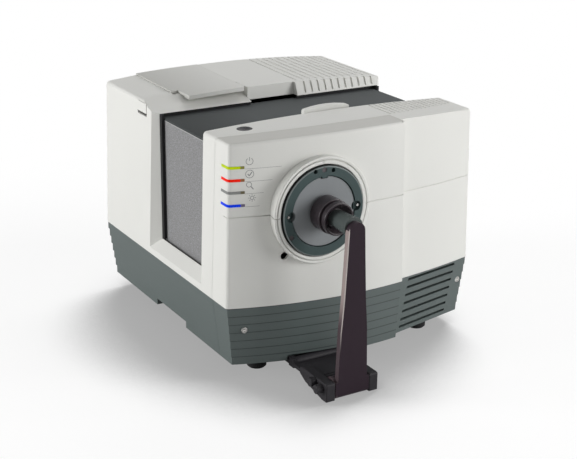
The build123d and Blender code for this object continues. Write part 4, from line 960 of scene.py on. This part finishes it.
@dataclass
class Housing(Assembly):
    """The white cover, its bezel, lid, latch and the printed marks beside the light bars."""

    finishes: Dressing = (
        ("main_cover", Finish.WHITE), ("side_latch", Finish.LATCH), ("read_button", Finish.BLACK),
        ("mouth_seal_left", Finish.RUBBER), ("mouth_seal_right", Finish.RUBBER),
        ("light_bar_power", Finish.BAR_GREEN), ("light_bar_ready", Finish.BAR_RED),
        ("light_bar_measure", Finish.BAR_GREY), ("light_bar_lamp", Finish.BAR_BLUE))
    moulding: Pair = (62.0 * MM, 71.0 * MM)     # radii of the moulding's fixed inside and moving outside
    moulding_slack: float = 0.4 * MM            # how far beyond its outside a vertex still moves
    moulding_slim: float = 1.4 * MM             # how far its outside comes in
    moulding_shift: float = 1.2 * MM            # more than that on its left, less on its right
    foot_slim: float = 3.4 * MM                 # and more still at its left foot
    foot_front: float = -165.0 * MM             # the foot lies behind this Y
    sight_hole: Point = (-118.0 * MM, 0.0, 168.5 * MM)
    hole_margin: Pair = (5.0 * MM, 9.0 * MM)    # round this hole the foot's extra starts and is full
    lid_across: Pair = (-137.0 * MM, -38.0 * MM)    # X where the lid's top starts to sink and is fully down
    lid_behind: Pair = (100.0 * MM, 130.0 * MM)     # Y of the same
    lid_sink: float = 1.9 * MM
    line_start: float = -165.5 * MM
    lines: tuple[Pair, ...] = (                 # heights and right ends, in mm
        (285.1, -120.0), (269.1, -132.0), (253.6, -143.0), (237.1, -148.0))
    line_width: float = 0.4 * MM
    line_pieces: int = 12
    symbols: tuple[tuple[Symbol, float, float], ...] = (    # with X and Z of their middles, in mm
        (POWER, -159.6, 294.2), (TICK, -159.6, 278.4), (MAGNIFIER, -159.6, 263.8), (SUN, -157.1, 248.0))

    def build(self) -> None:
        """Build and dress everything on the white housing."""
        skin("front_bezel", Finish.BEZEL, shape=self.slim_moulding)
        skin("service_lid", Finish.LID, shape=self.sink_lid)
        super().build()
        self.marks()

    def slim_moulding(self, mesh: BMesh) -> None:
        """Draw the raised moulding round the port in a little, along the bezel's own surface.

        Args:
            mesh: The bezel's welded copy.
        """
        flat = Vector((1.0, 0.0, 1.0))
        inner, outer = self.moulding
        moves: dict[BMVert, Vector] = {}
        for vert in mesh.verts:
            arm = (vert.co - Vector(PORT_CENTRE)) * flat
            if inner < arm.length < outer + self.moulding_slack:
                out = arm.normalized()
                slim = self.moulding_slim - self.moulding_shift * out.x
                if vert.co.y > self.foot_front:
                    away = ((vert.co - Vector(self.sight_hole)) * flat).length
                    slim += self.foot_slim * max(0.0, -out.x) * share(away, *self.hole_margin)
                shift = -out * slim * (arm.length - inner) / (outer - inner)
                panel = [face for face in vert.link_faces if self.is_panel(face)]
                if panel:
                    normal = max(panel, key=lambda face: face.calc_area()).normal
                    shift.y = -normal.dot(shift) / normal.y
                moves[vert] = shift
        for vert, shift in moves.items():
            vert.co += shift

    def is_panel(self, face: BMFace) -> bool:
        """Whether a face belongs to the panel outside the moulding, and faces forward."""
        offset = face.calc_center_median() - Vector(PORT_CENTRE)
        return face.normal.y < FORWARD and math.hypot(offset.x, offset.z) > self.moulding[1]

    def sink_lid(self, mesh: BMesh) -> None:
        """Bring the top of the lid down level with the roof towards its right edge.

        Args:
            mesh: The lid's welded copy.
        """
        for vert in {v for face in mesh.faces if face.normal.z > UPWARD for v in face.verts}:
            amount = share(vert.co.x, *self.lid_across) * share(vert.co.y, *self.lid_behind)
            vert.co.z -= self.lid_sink * amount

    def marks(self) -> None:
        """Lay the printed lines and symbols on the bezel."""
        drawing = Print()
        for height, end in self.lines:
            drawing.stroke((self.line_start, height * MM), (end * MM, height * MM), self.line_width,
                           self.line_pieces)
        for symbol, x, z in self.symbols:
            drawing.symbol(symbol, x, z)
        drawing.lay("front_bezel")
        drawing.finish("bezel_marks", "frame", Finish.PRINT, "white_shell")


@dataclass
class Base(Assembly):
    """The dark banded base with its feet and screws."""

    finishes: Dressing = (
        ("feet", Finish.RUBBER), ("base_screws", Finish.STEEL), ("foot_screws", Finish.STEEL))
    banded: tuple[str, ...] = ("base_tray", "base_front")
    band_angle: float = 12.0        # degrees; keeps the bands' edges crisp

    def build(self) -> None:
        """Dress the base."""
        for node in self.banded:
            skin(node, Finish.BASE, self.band_angle)
        super().build()


@dataclass
class Cover(Assembly):
    """The sliding compartment cover."""

    finishes: Dressing = (
        ("cover_top", Finish.DARK_COVER), ("cover_side_left", Finish.COVER_SIDE),
        ("cover_side_right", Finish.COVER_SIDE), ("cover_handle", Finish.WHITE))


@dataclass
class Port(Assembly):
    """The port ring and its plate."""

    finishes: Dressing = (
        ("port_ring", Finish.GREEN_RING), ("port_plate", Finish.PLATE), ("port_screws", Finish.DARK_STEEL),
        ("port_pins", Finish.STEEL))


@dataclass
class Clamp(Assembly):
    """The sprung sample clamp and its bracket."""

    finishes: Dressing = (
        ("clamp_arm", Finish.ARM), ("clamp_shaft", Finish.SHAFT), ("clamp_pad", Finish.PAD),
        ("clamp_bracket", Finish.BRACKET), ("clamp_pivot_pin", Finish.BRACKET),
        ("clamp_stop_pin", Finish.BRACKET), ("clamp_cross_rod", Finish.BRACKET))


@dataclass
class Inside(Assembly):
    """Everything inside and behind, in plain finishes."""

    finishes: Dressing = (
        ("storage_tray", Finish.BLACK), ("compartment_floor", Finish.BLACK), ("front_bulkhead", Finish.BLACK),
        ("rear_bulkhead", Finish.BLACK), ("read_switch", Finish.BLACK), ("cooling_fan", Finish.BLACK),
        ("fan_rotor", Finish.BLACK), ("power_inlet", Finish.BLACK), ("power_rocker", Finish.BLACK),
        ("lens_tube", Finish.BLACK), ("chassis_deck", Finish.SHEET), ("slide_rails", Finish.SHEET),
        ("lamp_housing", Finish.SHEET), ("spectrograph_box", Finish.SHEET),
        ("spectrograph_cover", Finish.SHEET), ("power_supply", Finish.SHEET),
        ("rear_panel", Finish.REAR_PANEL), ("sphere_stand", Finish.SHEET), ("data_ports", Finish.SHEET),
        ("sphere_front", Finish.SPHERE), ("sphere_rear", Finish.SPHERE), ("main_board", Finish.BOARD),
        ("detector_board", Finish.BOARD), ("indicator_board", Finish.BOARD), ("viewing_lens", Finish.GLASS),
        ("flash_lamp", Finish.GLASS), ("lid_hinge_pin", Finish.STEEL), ("rear_panel_screws", Finish.STEEL))


# ---- studio
@dataclass
class Camera:
    """The camera, placed as worked out for the instrument's real size."""

    location: Point = (-0.86619, -1.41173, 0.73621)
    yaw: float = 30.97387           # degrees
    pitch: float = 20.00046
    roll: float = 0.68928
    focal_pixels: float = 1256.07
    image_width: float = 577.0
    sensor: float = 36.0            # mm
    far_clip: float = 50.0

    def build(self) -> None:
        """Make the camera and use it."""
        yaw, pitch, roll = (math.radians(angle) for angle in (self.yaw, self.pitch, self.roll))
        ahead = Vector((math.sin(yaw) * math.cos(pitch), math.cos(yaw) * math.cos(pitch), -math.sin(pitch)))
        level = ahead.cross(Vector((0, 0, 1))).normalized()
        above = level.cross(ahead)
        right = level * math.cos(roll) + above * math.sin(roll)
        up = above * math.cos(roll) - level * math.sin(roll)
        data = bpy.data.cameras.new("camera")
        data.sensor_width = self.sensor
        data.lens = self.focal_pixels / self.image_width * self.sensor
        data.clip_end = self.far_clip
        camera = bpy.data.objects.new("camera", data)
        turn = Matrix((right, up, -ahead)).transposed().to_4x4()
        camera.matrix_world = Matrix.Translation(self.location) @ turn
        bpy.context.scene.collection.objects.link(camera)
        bpy.context.scene.camera = camera


@dataclass(frozen=True)
class SoftLamp:
    """A square area lamp."""

    name: str
    place: Point
    target: Point
    size: float         # side length, in metres
    watts: float

    def build(self) -> None:
        """Hang the lamp and aim it."""
        data = bpy.data.lights.new(self.name, "AREA")
        data.size = self.size
        data.energy = self.watts
        lamp = bpy.data.objects.new(self.name, data)
        lamp.location = self.place
        aim = Vector(self.target) - Vector(self.place)
        lamp.rotation_euler = aim.to_track_quat("-Z", "Y").to_euler()
        bpy.context.scene.collection.objects.link(lamp)


@dataclass
class Floor:
    """Wide pale paper that keeps the shadow near the instrument."""

    half_width: float = 12.0
    albedo: float = 0.90            # the paper as the instrument meets it
    seen_albedo: float = 0.35       # the camera sees a darker paper, made up by the lift
    lift: float = 0.755
    far_tone: float = 0.955
    fade: Pair = (0.50, 0.95)       # the near paper gives way to the far tone between these distances
    card_edge: float = 0.285        # how far along the view the paper turns white, from the origin
    contact_reach: float = 0.27     # how far round each point of the floor the contact shadow looks
    contact_samples: int = 48
    contact_open: Pair = (0.50, 0.82)       # open share of the sky where the shadow is full and gone
    contact_floor: float = 0.46     # its darkest share of the paper's tone
    contact_lean: Point = (0.35, 0.30, 0.89)    # leans it to the left and the front

    def build(self) -> None:
        """Lay the floor."""
        mesh = bmesh.new()
        bmesh.ops.create_grid(mesh, x_segments=1, y_segments=1, size=self.half_width)
        data = bpy.data.meshes.new("floor")
        mesh.to_mesh(data)
        mesh.free()
        floor = bpy.data.objects.new("floor", data)
        bpy.context.scene.collection.objects.link(floor)
        data.materials.append(self.paper())

    def paper(self) -> bpy.types.Material:
        """Make the paper, which the camera sees apart from all other rays.

        Returns:
            The material.
        """
        shader = Shader("floor_paper")
        shade = self.contact(shader)
        dark = shader.mix(shade, (0.0, 0.0, 0.0), (self.seen_albedo,) * 3)
        shaded = shader.node("ShaderNodeBsdfDiffuse", None, {"Color": dark})
        lift = shader.node("ShaderNodeEmission", None, {"Strength": self.lift * shade})
        near = shader.node("ShaderNodeAddShader", None, {0: shaded, 1: lift})
        far = shader.node("ShaderNodeEmission", None, {"Color": self.card(shader), "Strength": 1.0})
        reach = shader.node("ShaderNodeVectorMath", {"operation": "LENGTH"}, {0: shader.place}, "Value")
        seen = shader.node("ShaderNodeMixShader", None, {0: shader.ramp(reach, self.fade), 1: near, 2: far})
        plain = shader.node("ShaderNodeBsdfDiffuse", None, {"Color": (self.albedo,) * 3})
        camera_ray = shader.node("ShaderNodeLightPath", output="Is Camera Ray")
        shader.show(shader.node("ShaderNodeMixShader", None, {0: camera_ray, 1: plain, 2: seen}))
        return shader.material

    def contact(self, shader: Shader) -> Signal:
        """The soft shadow under and beside the instrument.

        Args:
            shader: The paper's shader.

        Returns:
            The share of the paper's tone that it leaves.
        """
        lean = shader.node("ShaderNodeCombineXYZ", None, dict(zip("XYZ", self.contact_lean)))
        open_sky = shader.node("ShaderNodeAmbientOcclusion", {"samples": self.contact_samples},
                               {"Distance": self.contact_reach, "Normal": lean}, "AO")
        return shader.ramp(open_sky, self.contact_open, (self.contact_floor, 1.0))

    def card(self, shader: Shader) -> Signal:
        """The far paper's tone, which turns white beyond an edge across the view.

        Args:
            shader: The paper's shader.

        Returns:
            The colour.
        """
        yaw = math.radians(Camera.yaw)
        along = shader.node("ShaderNodeVectorMath", {"operation": "DOT_PRODUCT"},
                            {0: shader.place, 1: (math.sin(yaw), math.cos(yaw), 0.0)}, "Value")
        return shader.mix(along > self.card_edge, (self.far_tone,) * 3, WHITE)


@dataclass
class Studio:
    """Pale floor, soft lights and a white background."""

    world_light: float = 0.26
    lamps: tuple[SoftLamp, ...] = (
        SoftLamp("key", place=(-3.3, 1.4, 0.75), target=(0.0, 0.0, 0.15), size=1.6, watts=86.0),
        SoftLamp("fill", place=(2.7, -2.6, 0.85), target=(0.0, 0.0, 0.15), size=2.6, watts=121.0),
        SoftLamp("back", place=(0.9, 0.8, 1.7), target=(0.0, 0.0, 0.0), size=0.8, watts=6.0))

    def build(self) -> None:
        """Make the studio."""
        Floor().build()
        for lamp in self.lamps:
            lamp.build()
        self.world()

    def world(self) -> None:
        """White to the camera, through glass and in reflections, gentle light on the instrument."""
        world = bpy.data.worlds.new("world")
        bpy.context.scene.world = world
        world.use_nodes = True
        nodes = Nodes(world.node_tree, "ShaderNodeOutputWorld")
        white_rays: Operand = 0.0
        for ray in ("Is Camera Ray", "Is Transmission Ray", "Is Glossy Ray"):
            white_rays = nodes.node("ShaderNodeMath", {"operation": "MAXIMUM"},
                                    {0: white_rays, 1: nodes.node("ShaderNodeLightPath", output=ray)})
        soft = nodes.node("ShaderNodeBackground", None, {"Color": WHITE, "Strength": self.world_light})
        white = nodes.node("ShaderNodeBackground", None, {"Color": WHITE, "Strength": 1.0})
        nodes.show(nodes.node("ShaderNodeMixShader", None, {0: white_rays, 1: soft, 2: white}))


def main() -> None:
    """Build the whole scene in order."""
    logging.basicConfig(level=logging.INFO, format="%(message)s")
    bpy.context.scene.view_settings.view_transform = "Standard"
    for part in (Camera(), Studio(), Housing(), Base(), Cover(), Port(), Clamp(), Inside()):
        part.build()
        log.info("%s done", type(part).__name__)


if __name__ == "__main__":
    main()
